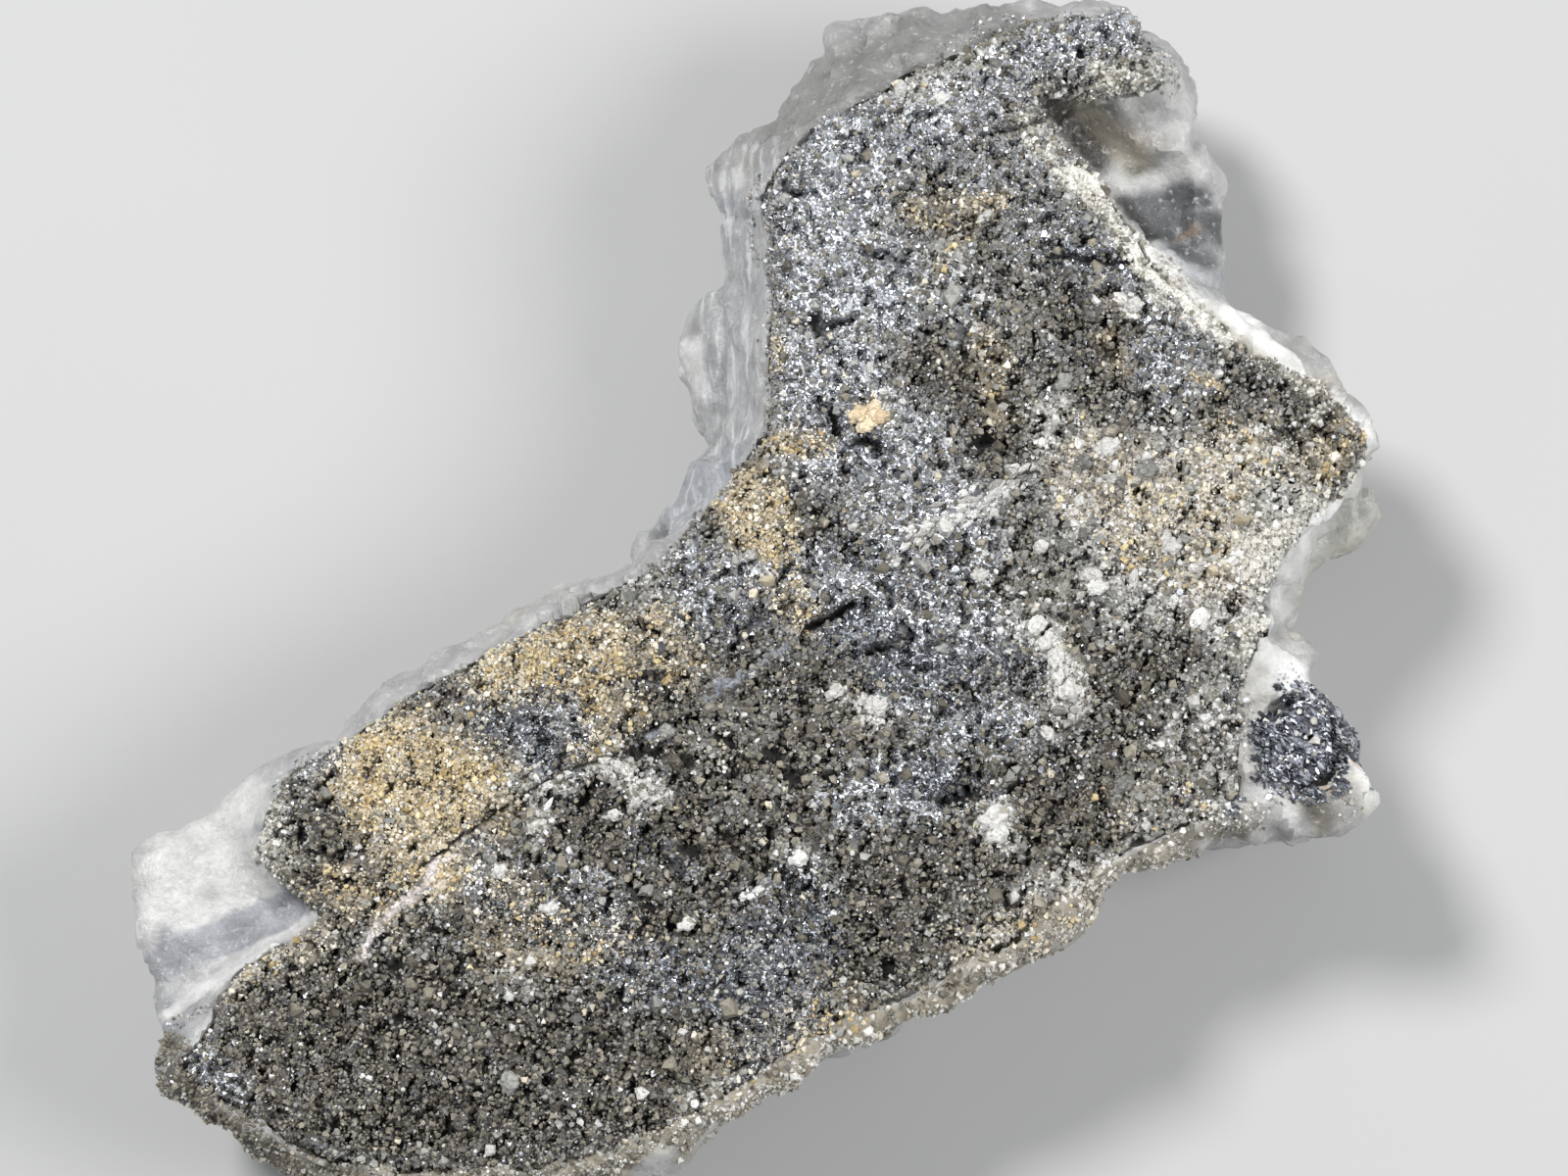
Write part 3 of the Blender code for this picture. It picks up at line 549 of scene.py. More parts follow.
TAN_STAIN = (
    (-18.8, -10.3, -15.8, -10.8, 3.1, 1.0), (-20.3, -7.7, -16.7, -14.3, 2.2, 0.9),
    (-12.9, -4.7, -8.4, -3.7, 2.1, 0.9), (-8.6, -5.2, -8.4, -6.7, 1.1, 1.0),
    (-0.9, 4.0, 0.1, 2.4, 1.5, 0.9), (1.1, -0.6, 2.1, -1.6, 1.2, 0.8),
    (-5.4, -2.7, -4.4, -4.7, 1.2, 0.6), (5.3, 8.7, 5.6, 8.4, 0.8, 1.0),
    (0.6, 6.8, 3.1, 7.3, 0.8, 0.8), (8.2, 19.3, 11.7, 19.6, 1.0, 0.5),
    (11.7, 12.3, 12.1, 8.6, 0.8, 0.4), (9.2, 16.4, 10.2, 18.0, 0.7, 0.4),
    (17.7, 12.3, 18.2, 11.2, 0.8, 0.5), (17.6, 5.0, 22.6, 1.4, 2.6, 0.40),
    (20.1, 2.4, 24.2, 6.0, 2.2, 0.45), (-21.2, -15.8, -18.7, -17.3, 1.2, 0.6),
    (-12.8, -15.8, -10.8, -17.3, 1.2, 0.6), (30.5, 7.6, 28.2, 6.0, 1.2, 0.4),
    (22.5, 10.3, 23.2, 9.9, 0.6, 0.8), (0.6, 11.7, 0.8, 11.0, 0.5, 1.0),
    (10.9, -18.8, 15.9, -17.3, 1.2, 0.4), (-1.9, -24.7, 4.0, -22.3, 1.5, 0.25),
    (-13.7, -18.8, -6.8, -18.8, 1.5, 0.35), (-6.9, -6.7, -8.9, -8.7, 1.0, 0.5),
    (17.0, -12.2, 21.5, -11.6, 1.3, 0.12), (-27.6, -21.3, -22.0, -18.3, 0.8, 0.35),
)
BROWN_GRAINED = (
    (-2.9, -8.7, 4.1, -8.7, 3.5, 0.9), (-3.9, -13.8, 3.1, -13.8, 2.5, 0.8),
    (-29.4, -26.2, -13.7, -26.2, 4.0, 0.9), (-23.6, -20.8, -14.7, -22.8, 3.0, 0.9),
    (-23.7, -11.8, -22.7, -15.8, 2.1, 0.9), (12.0, -10.8, 16.4, -14.8, 3.0, 0.8),
    (5.0, -17.3, 14.9, -17.3, 2.5, 0.7), (27.2, 7.6, 30.2, 5.5, 2.0, 0.8),
    (-12.7, -24.7, -3.8, -26.7, 3.0, 0.6), (-10.8, -13.8, -4.9, -15.8, 2.5, 0.7),
    (14.2, 14.9, 17.7, 13.3, 2.0, 0.6), (11.1, 10.7, 12.6, 8.1, 1.7, 0.8),
    (8.7, 20.1, 11.2, 17.0, 1.4, 0.5), (-7.9, -5.7, -3.9, -6.7, 1.5, 0.7),
    (11.1, 0.4, 14.1, -1.6, 2.0, 0.6), (17.5, -5.7, 20.9, -9.8, 2.5, 0.4),
)
PALE_QUARTZ = (
    (-3.5, -8.2, 3.5, -9.5, 2.6, 0.2), (15.1, 8.1, 19.1, 3.5, 1.7, 0.7),
    (17.1, 3.5, 25.7, 5.5, 3.0, 0.8),
    (18.6, -0.6, 25.1, -0.6, 2.2, 0.7), (15.0, -4.2, 15.8, -6.5, 0.9, 1.3),
    (12.8, -2.7, 15.3, -3.2, 0.9, 0.9), (11.5, -12.5, 11.7, -13.0, 1.0, 1.2),
    (5.3, -6.7, 6.0, -7.5, 0.8, 1.0), (3.6, -5.7, 4.1, -6.3, 0.5, 0.9),
    (1.6, -14.3, 2.8, -15.0, 0.8, 0.8), (-8.1, -9.5, -5.9, -11.5, 0.9, 1.1),
    (-11.6, -12.7, -11.1, -12.9, 0.6, 1.2), (-13.8, -10.8, -10.8, -10.8, 1.2, 0.6),
    (-17.7, -15.8, -13.8, -14.8, 1.0, 0.6), (21.9, -8.7, 23.9, -10.8, 2.5, 0.5),
    (19.9, -11.8, 22.4, -9.8, 1.7, 0.4), (16.9, -14.8, 10.9, -18.8, 1.1, 0.6),
    (-3.8, -27.7, 5.0, -23.2, 0.9, 0.6), (23.5, -2.7, 25.1, 1.4, 1.5, 0.8),
    (-10.8, -18.8, -12.7, -20.8, 0.9, 0.4), (6.4, 9.4, 6.9, 9.1, 0.5, 0.6),
    (7.7, 25.6, 11.3, 28.0, 1.5, 0.7), (-6.4, -0.6, -3.9, -2.7, 0.9, 0.5),
    (17.8, 21.2, 23.3, 13.3, 0.9, 0.7), (1.1, 5.5, 0.1, 6.6, 0.7, 0.5),
    (13.9, 5.7, 10.6, 3.7, 0.5, 1.2), (10.6, 3.7, 8.2, 2.1, 0.6, 1.0),
    (-15.2, -14.6, -17.0, -16.0, 0.4, 1.2), (-17.0, -16.0, -20.3, -19.4, 0.35, 1.0),
    (-9.4, -10.3, -10.8, -11.5, 0.6, 0.8), (19.2, 26.4, 21.5, 27.4, 1.2, 0.6),
    (11.5, 1.0, 15.5, -0.8, 1.6, 0.35), (9.5, 16.5, 13.5, 13.0, 1.8, 0.22),
    (-27.6, -21.3, -22.0, -18.3, 0.7, 0.4), (22.6, -5.0, 23.4, -9.5, 0.9, 0.5),
)
VEIN_THREAD = (
    (1.8, -3.0, -0.3, -4.7, 0.17, 1.0), (-0.3, -4.7, -1.9, -5.7, 0.23, 1.0),
    (-1.9, -5.7, -3.2, -6.3, 0.32, 1.0), (-4.7, -7.6, -5.9, -8.3, 0.18, 1.0),
)
CRACK = (
    (-3.4, -7.2, -5.8, -8.0, 0.12, 1.0), (-5.8, -8.0, -6.6, -9.0, 0.10, 1.0),
    (-6.6, -9.0, -10.2, -10.2, 0.10, 1.0), (-10.2, -10.2, -13.2, -12.1, 0.10, 1.0),
    (-13.2, -12.1, -14.9, -13.4, 0.12, 1.0), (-14.9, -13.4, -17.3, -15.1, 0.12, 1.0),
)
VUGS = (
    (1.4, -10.2, 1.9, -10.3, 0.28, 1.0), (3.1, -10.3, 3.5, -10.1, 0.25, 1.0),
    (0.3, -9.0, 0.9, -9.3, 0.30, 1.0), (-2.2, -8.2, -1.7, -8.6, 0.25, 0.9),
    (-4.3, -9.4, -3.7, -9.7, 0.28, 1.0), (2.7, 13.5, 3.1, 12.8, 0.32, 1.0),
    (3.3, 13.2, 4.5, 13.4, 0.2, 1.0), (4.8, 7.0, 5.9, 6.8, 0.25, 0.9),
    (5.2, 17.1, 7.2, 16.5, 0.2, 0.8), (11.4, 23.2, 14.3, 23.9, 0.15, 0.7),
    (15.0, 16.9, 18.8, 16.5, 0.2, 0.8), (3.5, 8.6, 3.7, 7.6, 0.25, 1.0),
    (10.7, 7.0, 11.5, 7.2, 0.3, 0.9), (2.4, -2.5, 4.5, -1.5, 0.24, 1.2),
    (5.3, -3.7, 7.4, -3.2, 0.2, 0.9), (8.4, -3.4, 9.3, -3.3, 0.2, 0.9),
    (9.1, -11.4, 10.8, -11.1, 0.3, 0.9), (17.2, 12.3, 18.2, 11.6, 0.2, 0.8),
    (0.8, 20.9, 1.1, 20.7, 0.25, 0.9), (0.5, 16.9, 0.7, 17.0, 0.25, 0.9),
    (10.4, 18.1, 10.7, 18.2, 0.2, 0.7), (-3.9, -13.9, -3.3, -14.2, 0.3, 0.8),
    (-4.4, -14.8, -4.2, -15.0, 0.3, 0.7), (-6.8, -16.0, -6.3, -16.4, 0.25, 0.7),
    (-1.9, -13.5, -1.5, -13.9, 0.3, 0.8), (13.2, 5.4, 13.6, 5.6, 0.2, 0.8),
    (10.2, 13.3, 10.4, 12.3, 0.2, 0.7), (16.2, 14.9, 16.6, 14.8, 0.2, 0.6),
    (-10.9, -2.7, -10.6, -2.9, 0.2, 0.6), (-6.2, -5.2, -3.9, -5.2, 0.2, 0.6),
    (24.1, -3.4, 24.3, -3.9, 0.2, 0.5), (14.7, -16.1, 15.1, -16.4, 0.2, 0.6),
    (1.4, -1.2, -0.9, -2.7, 0.2, 0.6), (-6.4, -9.2, -5.4, -9.0, 0.3, 0.8),
)
SMOOTH_BORDER = (
    (15.8, 21.6, 17.7, 20.5, 0.5, 0.8), (19.5, 17.1, 21.1, 15.5, 0.75, 1.0),
    (21.1, 15.5, 23.9, 13.0, 0.75, 1.0), (18.1, 14.7, 19.0, 13.8, 0.3, 1.0),
    (17.7, 20.3, 19.3, 17.6, 0.35, 0.8),
)
PINK_STRIP = (
    (-15.0, -14.6, -16.5, -15.1, 0.17, 1.0), (-16.5, -15.1, -17.3, -16.2, 0.27, 1.0),
    (-17.3, -16.2, -18.7, -17.7, 0.28, 1.0), (-19.0, -18.0, -20.5, -19.6, 0.18, 1.0),
)


def pits(spread):
    """0 to 1: how deep each point lies in one of the crust's many small pits,
    which crowd where the grains are coarse and brown."""
    if "pits" not in spread.found:
        ease = spread.weighed(0.0, (0.08, BROWN_GRAINED), (-0.04, SILVERY),
                              (-0.10, PALE_QUARTZ), (-0.08, TAN_STAIN), (-0.3, CREAM),
                              (-0.3, MILK))
        ease = ease - smooth_quartz(spread) + 0.08 * spread.swell(3.0, 70.0)
        depth = spread.within(VUGS, 0.25)
        for size, start, needed in PIT_SIZES:
            small = (spread.swell(size, start) - needed + ease) / PIT_EDGE
            depth = np.maximum(depth, held(small))
        spread.found["pits"] = depth
    return spread.found["pits"]


def smooth_quartz(spread):
    """Where the crust is cut by bare veins of quartz, here and there grown
    over by it."""
    if "bare" not in spread.found:
        veins = np.maximum(spread.within(VEIN_THREAD, 0.35),
                           spread.within(PINK_STRIP, 0.45))
        veins = np.maximum(veins, spread.within(SMOOTH_BORDER, 0.5))
        spread.found["bare"] = veins * held(1.0 + 1.7 * spread.swell(0.6, 88.0))
    return spread.found["bare"]


def cracked(spread):
    return spread.within(CRACK, 0.1)


def pale_border(spread):
    """Where the quartz beside the crust is cream or milky."""
    return np.maximum(spread.within(CREAM), spread.within(MILK))


def bareness(spread):
    """Where nothing grows: in pits and cracks, and hardly on bare quartz."""
    barred = np.maximum(pits(spread), 0.35 * smooth_quartz(spread))
    return np.maximum(barred, cracked(spread))


def grown_ground(node, name, seat_fill):
    """A crust's ground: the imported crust, swollen to fill its seat."""
    ground = node_copy(node, name)
    shaped(ground, 'REMESH', mode='VOXEL', voxel_size=2.5 * GROUND_VOXEL * MM)
    points = corners(ground)
    outward = facings(ground)
    coarse, fine = FILL_WAVES
    fill = seat_fill[0] + seat_fill[1] * np.maximum(
        swell(points, coarse, 21.0) + 0.5 * swell(points, fine, 31.0), 0.0)
    points[:, :2] += outward[:, :2] * fill[:, None]
    points[:, 2] -= np.where(outward[:, 2] < -0.5, GROUND_SINK, 0.0)
    put_corners(ground, points)
    shaped(ground, 'REMESH', mode='VOXEL', voxel_size=GROUND_VOXEL * MM)
    under = ground.vertex_groups.new(name="underside")
    low = np.nonzero(corners(ground)[:, 2] < UNDERSIDE_TOP)[0]
    under.add([int(index) for index in low], 1.0, 'REPLACE')
    shaped(ground, 'DECIMATE', ratio=UNDERSIDE_KEPT, vertex_group="underside",
           vertex_group_factor=1.0)
    spread = Spread(corners(ground))
    points = spread.points
    slope, over = SIDE_SLOPE
    spread.found["side"] = held((slope - facings(ground)[:, 2]) / over)
    push = sum(height * swell(points, size) for size, height in GROUND_LUMPS)
    push -= PIT_DEPTH * pits(spread) + CRACK_DEPTH * cracked(spread)
    push += VEIN_RISE * smooth_quartz(spread)
    push *= rising(points[:, 2], *GROUND_TOP)
    put_corners(ground, points + facings(ground) * push[:, None])
    return ground, spread


def tilted(paint, spot, size, lean):
    """Normals of tiny crystal faces: each cell of the pattern leans its own
    way from the surface."""
    cell = paint.cells(spot, size, "Color")
    off = cell.vectors("SUBTRACT", cell, (0.5, 0.5, 0.5))
    off = off.vectors("MULTIPLY", off, lean)
    facing = paint.node("ShaderNodeNewGeometry", output="Normal")
    return off.vectors("NORMALIZE", off.vectors("ADD", facing, off))


def ground_finish():
    """Fine crystalline mass: metal where it is silvery, else dull and dark."""
    made, paint, feed = new_finish("crust_ground", IOR=1.6)
    spot = paint.place()
    fine = paint.clouds(spot, 0.22, 3.0, 0.7)
    shade = paint.cells(spot, FACET_SIZE, "Color")
    body = (shade * 1.5 + 0.35).shaded(paint.attribute("tint", "Color"))
    feed("Base Color", body)
    feed("Metallic", paint.attribute("metal") * fine.between(0.35, 0.50))
    feed("Roughness", fine * 0.3 + 0.26 + paint.attribute("hollow") * 0.5)
    feed("Normal", tilted(paint, spot, FACET_SIZE, paint.attribute("crystals") * 1.1))
    return made


ground, spread = grown_ground("polybasite_crust", "crust_ground", SEAT_FILL)
silver, dark = spread.within(SILVERY), spread.within(DARK_STEEL)
bare, side, border = smooth_quartz(spread), spread.found["side"], pale_border(spread)
# Pits and cracks are tinted near black below: painted shade in the hollows.
hollow = np.maximum(pits(spread), cracked(spread)) * (1.0 - side)
keep_share(ground, "hollow", hollow)
keep_share(ground, "crystals", 1.0 - 0.85 * bare)
keep_share(ground, "metal", held(0.15 + silver + dark - bare - hollow - border - side))
keep_tint(ground, painted(
    len(spread.points), (0.070, 0.064, 0.056),
    ((0.46, 0.45, 0.42), spread.within(PALE_QUARTZ)),
    ((0.72, 0.74, 0.77), silver),
    ((0.24, 0.255, 0.29), 0.8 * dark),
    ((0.42, 0.34, 0.22), spread.within(TAN_STAIN)),
    ((0.50, 0.48, 0.42), border),
    ((0.36, 0.35, 0.33), side),
    ((0.16, 0.17, 0.19), bare * (spread.within(VEIN_THREAD, 0.35) > 0.0)),
    ((0.50, 0.45, 0.435), bare * (spread.within(PINK_STRIP, 0.45) > 0.0)),
    ((0.66, 0.64, 0.58), bare * (spread.within(SMOOTH_BORDER, 0.5) > 0.0)),
    # painted shade in pits and cracks
    ((0.006, 0.0055, 0.005), hollow)))
ground_material = ground_finish()
ground.data.materials.append(ground_material)
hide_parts("polybasite_crust")
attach(ground, "root")

# ---------------------------------------------------------------------------
# The crust's quartz grains: glassy granules grown tightly side by side, each
# filling its room and broken into a few faces.  Most are smoky brown-grey;
# iron stains them tan, and they are white along the vein and at the right.
GRAIN_SIDES = 5
GRAIN_NEIGHBOURS = 12           # how many others each grain makes room for
GRAIN_TOP = (0.42, 0.46)        # its top's reach, as a share of its room, to this more
GRAIN_HEIGHT = (0.35, 0.55)     # for each millimetre of half width, to this more
GRAIN_LEAN, GRAIN_UNEVEN = 0.38, 0.10           # its top's tilt and unevenness
GRAIN_ROOT = 0.9                # how deep its lower point is, as its height is given
GRAIN_JOINT = 0.97              # share of its room that it fills
LONGEST_ROOM = 9.0
GRAIN_CROWD = 2.6               # spots tried for each one wanted
GRAIN_SCATTER, SMALL_SCATTER = 0.46, 0.30       # how much their sizes vary
GRAIN_GAPS = (0.165, 0.60)
GRAIN_WIDTH = 0.60              # half width, for each millimetre of spacing
CELL_SHARE = 0.92               # small things keep one to a cell of their spacing
DOWNWARD = -0.2                 # faces that look down more than this stay bare
CRUST_FOOT = 13.8               # nothing grows on the crust's ground below this
SMOKY = ((0.100, 0.089, 0.069), (0.385, 0.352, 0.278))
GREY = ((0.16, 0.158, 0.146), (0.49, 0.485, 0.45))
WHITE = ((0.55, 0.54, 0.51), (0.86, 0.85, 0.82))
TAN = ((0.50, 0.42, 0.28), (0.98, 0.92, 0.77))
OCHRE = ((0.40, 0.285, 0.12), (0.93, 0.78, 0.47))
PEACH = ((0.60, 0.46, 0.29), (0.97, 0.85, 0.62))
CREAMY = ((0.48, 0.46, 0.40), (0.90, 0.88, 0.82))

# Where the grains are finer, and the largest grains: x, y, half width, colour.
FINE_GRAINED = (
    (-28.5, -24.8, -20.5, -25.6, 3.6, 1.0), (-22.5, -22.0, -19.0, -22.5, 2.0, 0.6),
)
LARGE_GRAINS = (
    (15.1, -5.2, 0.75, WHITE), (15.5, -6.0, 0.60, WHITE), (14.9, -4.2, 0.55, WHITE),
    (14.0, -2.6, 0.45, WHITE), (14.4, -3.3, 0.50, WHITE), (11.6, -12.7, 0.85, WHITE),
    (11.0, -12.1, 0.45, GREY), (11.9, -13.4, 0.50, WHITE), (-7.8, -9.5, 0.55, WHITE),
    (-7.2, -10.0, 0.45, WHITE), (-6.5, -11.7, 0.45, WHITE), (-5.9, -11.6, 0.4, WHITE),
    (-7.6, -12.4, 0.45, WHITE), (-11.4, -12.9, 0.55, WHITE), (5.0, -6.4, 0.55, WHITE),
    (5.7, -6.9, 0.50, WHITE), (3.7, -6.0, 0.45, WHITE), (4.9, 8.4, 0.50, PEACH),
    (5.6, 8.6, 0.55, PEACH), (6.0, 8.2, 0.45, PEACH), (5.3, 7.9, 0.45, PEACH),
    (16.1, 7.7, 0.55, WHITE), (17.6, 6.7, 0.50, WHITE), (16.4, 6.0, 0.45, GREY),
    (20.6, 1.8, 0.50, WHITE), (20.9, 1.5, 0.45, WHITE), (16.6, 0.1, 0.5, WHITE),
    (17.0, -0.6, 0.45, WHITE), (19.0, -0.2, 0.45, WHITE), (19.7, 5.6, 0.5, GREY),
    (15.3, 1.8, 0.45, GREY), (14.3, 1.6, 0.40, WHITE), (11.2, 0.3, 0.40, WHITE),
    (11.4, 18.8, 0.45, WHITE), (8.4, 25.5, 0.50, GREY), (9.1, 25.3, 0.40, WHITE),
    (18.8, 14.2, 0.45, WHITE), (15.4, 10.1, 0.45, GREY), (-4.4, -9.6, 0.45, SMOKY),
    (-4.9, -8.1, 0.40, GREY), (1.8, -14.6, 0.45, WHITE), (-13.4, -15.3, 0.4, WHITE),
    (-10.8, -17.2, 0.40, WHITE), (-7.8, -19.4, 0.45, GREY), (-3.9, -17.8, 0.4, WHITE),
    (-12.7, -25.8, 0.50, GREY), (6.2, -20.8, 0.45, GREY), (17.4, -15.1, 0.45, WHITE),
    (15.9, -16.1, 0.45, WHITE), (19.9, -13.3, 0.50, GREY), (18.3, -10.8, 0.50, GREY),
    (14.5, -8.1, 0.40, WHITE), (12.5, -6.8, 0.45, SMOKY), (22.3, -2.0, 0.45, WHITE),
)


def strewn(piece, spacing, odds, seed, lowest=CRUST_FOOT, first=(), crowd=1.3):
    """Spots spread over the upper side of a piece, the way it faces there,
    and each spot's own spacing.  odds(spread) is the chance that one is
    there.  spacing is one number, or a function of the place: then no spot
    stands in another's room, and the spots nearest to first come first."""
    pick = np.random.default_rng(seed)
    mesh = piece.data
    mesh.calc_loop_triangles()
    ends = np.empty(len(mesh.loop_triangles) * 3, np.int32)
    mesh.loop_triangles.foreach_get("vertices", ends)
    a, b, c = corners(piece)[ends.reshape(-1, 3)].transpose(1, 0, 2)
    across = np.cross(b - a, c - a)
    area = np.linalg.norm(across, axis=1) / 2.0
    facing = across / np.maximum(2.0 * area, 1e-12)[:, None]
    open_faces = np.nonzero((facing[:, 2] > DOWNWARD) & (a[:, 2] > lowest)
                            & (area > 0.0))[0]
    uneven = callable(spacing)
    apart = spacing(Spread(a[open_faces])) if uneven else spacing
    wanted = area[open_faces] / apart ** 2
    count = int(wanted.sum() * crowd)
    face = open_faces[pick.choice(len(open_faces), count, p=wanted / wanted.sum())]
    u, v = np.sqrt(pick.random(count)), pick.random(count)
    spots = ((1.0 - u)[:, None] * a[face] + (u * (1.0 - v))[:, None] * b[face]
             + (u * v)[:, None] * c[face])
    spread = Spread(spots)
    kept = pick.random(count) < odds(spread)
    spread, facing = spread.chosen(kept), facing[face][kept]
    if not uneven:
        cells = np.floor(spread.points / (CELL_SHARE * spacing)).astype(int)
        alone = np.unique(cells, axis=0, return_index=True)[1]
        gaps = spacing * np.exp(pick.normal(0.0, SMALL_SCATTER, len(alone)))
        return spread.chosen(alone), facing[alone], gaps
    gaps = spacing(spread) * np.exp(pick.normal(0.0, GRAIN_SCATTER, len(spread.points)))
    if first:
        spots = spread.points
        nearest = [int(np.argmin(((spots[:, :2] - one[:2]) ** 2).sum(axis=1)))
                   for one in first]
        order = np.concatenate([nearest, np.arange(len(spots))])
        gaps[nearest] = [1.8 * one[2] for one in first]
        spread, facing, gaps = spread.chosen(order), facing[order], gaps[order]
    beside = [(i, j, k) for i in (-1, 0, 1) for j in (-1, 0, 1) for k in (-1, 0, 1)]
    taken, alone = {}, []
    cells = np.floor(spread.points / float(gaps.max())).astype(int)
    for index, (cell, spot, gap) in enumerate(zip(
            cells.tolist(), spread.points.tolist(), gaps.tolist())):
        x, y, z = spot
        near = [other for i, j, k in beside
                for other in taken.get((cell[0] + i, cell[1] + j, cell[2] + k), ())]
        if index < len(first) or not any(
                (x - p) ** 2 + (y - q) ** 2 + (z - r) ** 2 < ((gap + other) / 2) ** 2
                for p, q, r, other in near):
            taken.setdefault(tuple(cell), []).append((x, y, z, gap))
            alone.append(index)
    return spread.chosen(alone), facing[alone], gaps[alone]


def unit(vectors):
    return vectors / np.linalg.norm(vectors, axis=1)[:, None]


def one_mesh(name, batches):
    """Joins batches of small shapes.  A batch is its points, a row for each
    shape, the faces they share, a colour for each shape, and the points laid
    flat, which put each shape's colour in its own square of the baked map."""
    total = sum(len(points) for points, _, _, _ in batches)
    across = math.ceil(math.sqrt(total))
    all_points, all_ends, all_totals, all_tints, all_map = [], [], [], [], []
    before = first = 0
    for points, faces, tints, flat in batches:
        count, each = points.shape[:2]
        number = before + np.arange(count)
        square = np.stack([number % across, number // across], axis=1)
        ends = np.concatenate([np.array(face) for face in faces])
        starts = first + np.arange(count) * each
        all_points.append(points.reshape(-1, 3))
        all_ends.append((ends[None, :] + starts[:, None]).ravel())
        all_totals.append(np.tile([len(face) for face in faces], count))
        all_tints.append(np.repeat(tints, each, axis=0))
        inside = 0.5 + 0.8 * np.clip(flat[:, ends], -0.55, 0.55)
        all_map.append(((square[:, None, :] + inside) / across).reshape(-1, 2))
        before += count
        first += count * each
    points, ends = np.concatenate(all_points), np.concatenate(all_ends)
    totals = np.concatenate(all_totals)
    mesh = bpy.data.meshes.new(name)
    mesh.vertices.add(len(points))
    mesh.loops.add(len(ends))
    mesh.polygons.add(len(totals))
    mesh.loops.foreach_set("vertex_index", ends.astype(np.int32))
    mesh.polygons.foreach_set("loop_start",
                              (np.cumsum(totals) - totals).astype(np.int32))
    mesh.update(calc_edges=True)
    uv_map = mesh.uv_layers.new(name="OFBake")
    uv_map.data.foreach_set("uv", np.concatenate(all_map).astype(np.float32).ravel())
    piece = bpy.data.objects.new(name, mesh)
    bpy.context.scene.collection.objects.link(piece)
    put_corners(piece, points)
    keep_tint(piece, np.concatenate(all_tints))
    only(piece)
    bpy.ops.object.shade_flat()
    return piece


def grown_together(name, spots, facing, widths, tints, among, seed):
    """Grains that fill the room up to their neighbours.  among gives all
    the spots and half widths that they share the surface with.  Each grain is
    a point below, a ring at its foot, a ring at its top and a blunt tip."""
    pick = np.random.default_rng(seed)
    count, sides = len(spots), GRAIN_SIDES
    all_spots, all_widths = among
    tree = kdtree.KDTree(len(all_spots))
    for index, spot in enumerate(all_spots):
        tree.insert(spot, index)
    tree.balance()
    close = np.array([[found[1] for found in tree.find_n(spot, GRAIN_NEIGHBOURS + 1)][1:]
                      for spot in spots])
    side = unit(np.cross(facing, pick.normal(size=(count, 3))))
    other = np.cross(facing, side)
    gap = all_spots[close] - spots[:, None]
    right = np.einsum('nmj,nj->nm', gap, side)
    ahead = np.einsum('nmj,nj->nm', gap, other)
    far = np.hypot(right, ahead) + 1e-6
    border = far * widths[:, None] / (widths[:, None] + all_widths[close])
    angle = np.arange(sides) + pick.random((count, sides)) * 0.75
    angle = (angle + pick.random((count, 1)) * sides) * 2.0 * math.pi / sides
    toward = (right[..., None] * np.cos(angle)[:, None]
              + ahead[..., None] * np.sin(angle)[:, None]) / far[..., None]
    room = np.where(toward > 0.15, border[..., None] / np.maximum(toward, 0.15),
                    LONGEST_ROOM)
    longest = widths[:, None] * (1.0 + 0.4 * pick.random((count, sides)))
    room = np.minimum(room.min(axis=1), longest) * GRAIN_JOINT
    low = widths[:, None] * (pick.random((count, sides)) * 0.5 - 0.2)
    inward = room * (GRAIN_TOP[0] + GRAIN_TOP[1] * pick.random((count, sides)))
    lean = pick.normal(0.0, GRAIN_LEAN, (count, 2))
    x, y = inward * np.cos(angle), inward * np.sin(angle)
    high = widths * (GRAIN_HEIGHT[0] + GRAIN_HEIGHT[1] * pick.random(count))
    high = (high[:, None] + lean[:, :1] * x + lean[:, 1:] * y
            + widths[:, None] * pick.normal(0.0, GRAIN_UNEVEN, (count, sides)))
    peak = high.mean(axis=1, keepdims=True) + widths[:, None] * np.maximum(
        pick.normal(0.02, 0.12, (count, 1)), 0.0)
    tip = room[:, :2] * (pick.random((count, 2)) - 0.5) * 0.7
    x = np.concatenate([np.zeros((count, 1)), room * np.cos(angle), x, tip[:, :1]], axis=1)
    y = np.concatenate([np.zeros((count, 1)), room * np.sin(angle), y, tip[:, 1:]], axis=1)
    z = np.concatenate([-GRAIN_ROOT * widths[:, None], low, high, peak], axis=1)
    points = (spots[:, None] + x[..., None] * side[:, None]
              + y[..., None] * other[:, None] + z[..., None] * facing[:, None])
    ring = range(sides)
    after = [(k + 1) % sides for k in ring]
    faces = [(0, 1 + after[k], 1 + k) for k in ring]
    faces += [(1 + k, 1 + after[k], 1 + sides + after[k], 1 + sides + k) for k in ring]
    faces += [(1 + sides + k, 1 + sides + after[k], 1 + 2 * sides) for k in ring]
    flat = np.stack([x, y], axis=2) / (3.2 * widths[:, None, None])
    return one_mesh(name, [(points, faces, tints, flat)])


def blend_of(shades, share):
    """A colour between a dark and a light shade for each share."""
    dark, light = np.array(shades[0]), np.array(shades[1])
    return dark + (light - dark) * share[:, None]


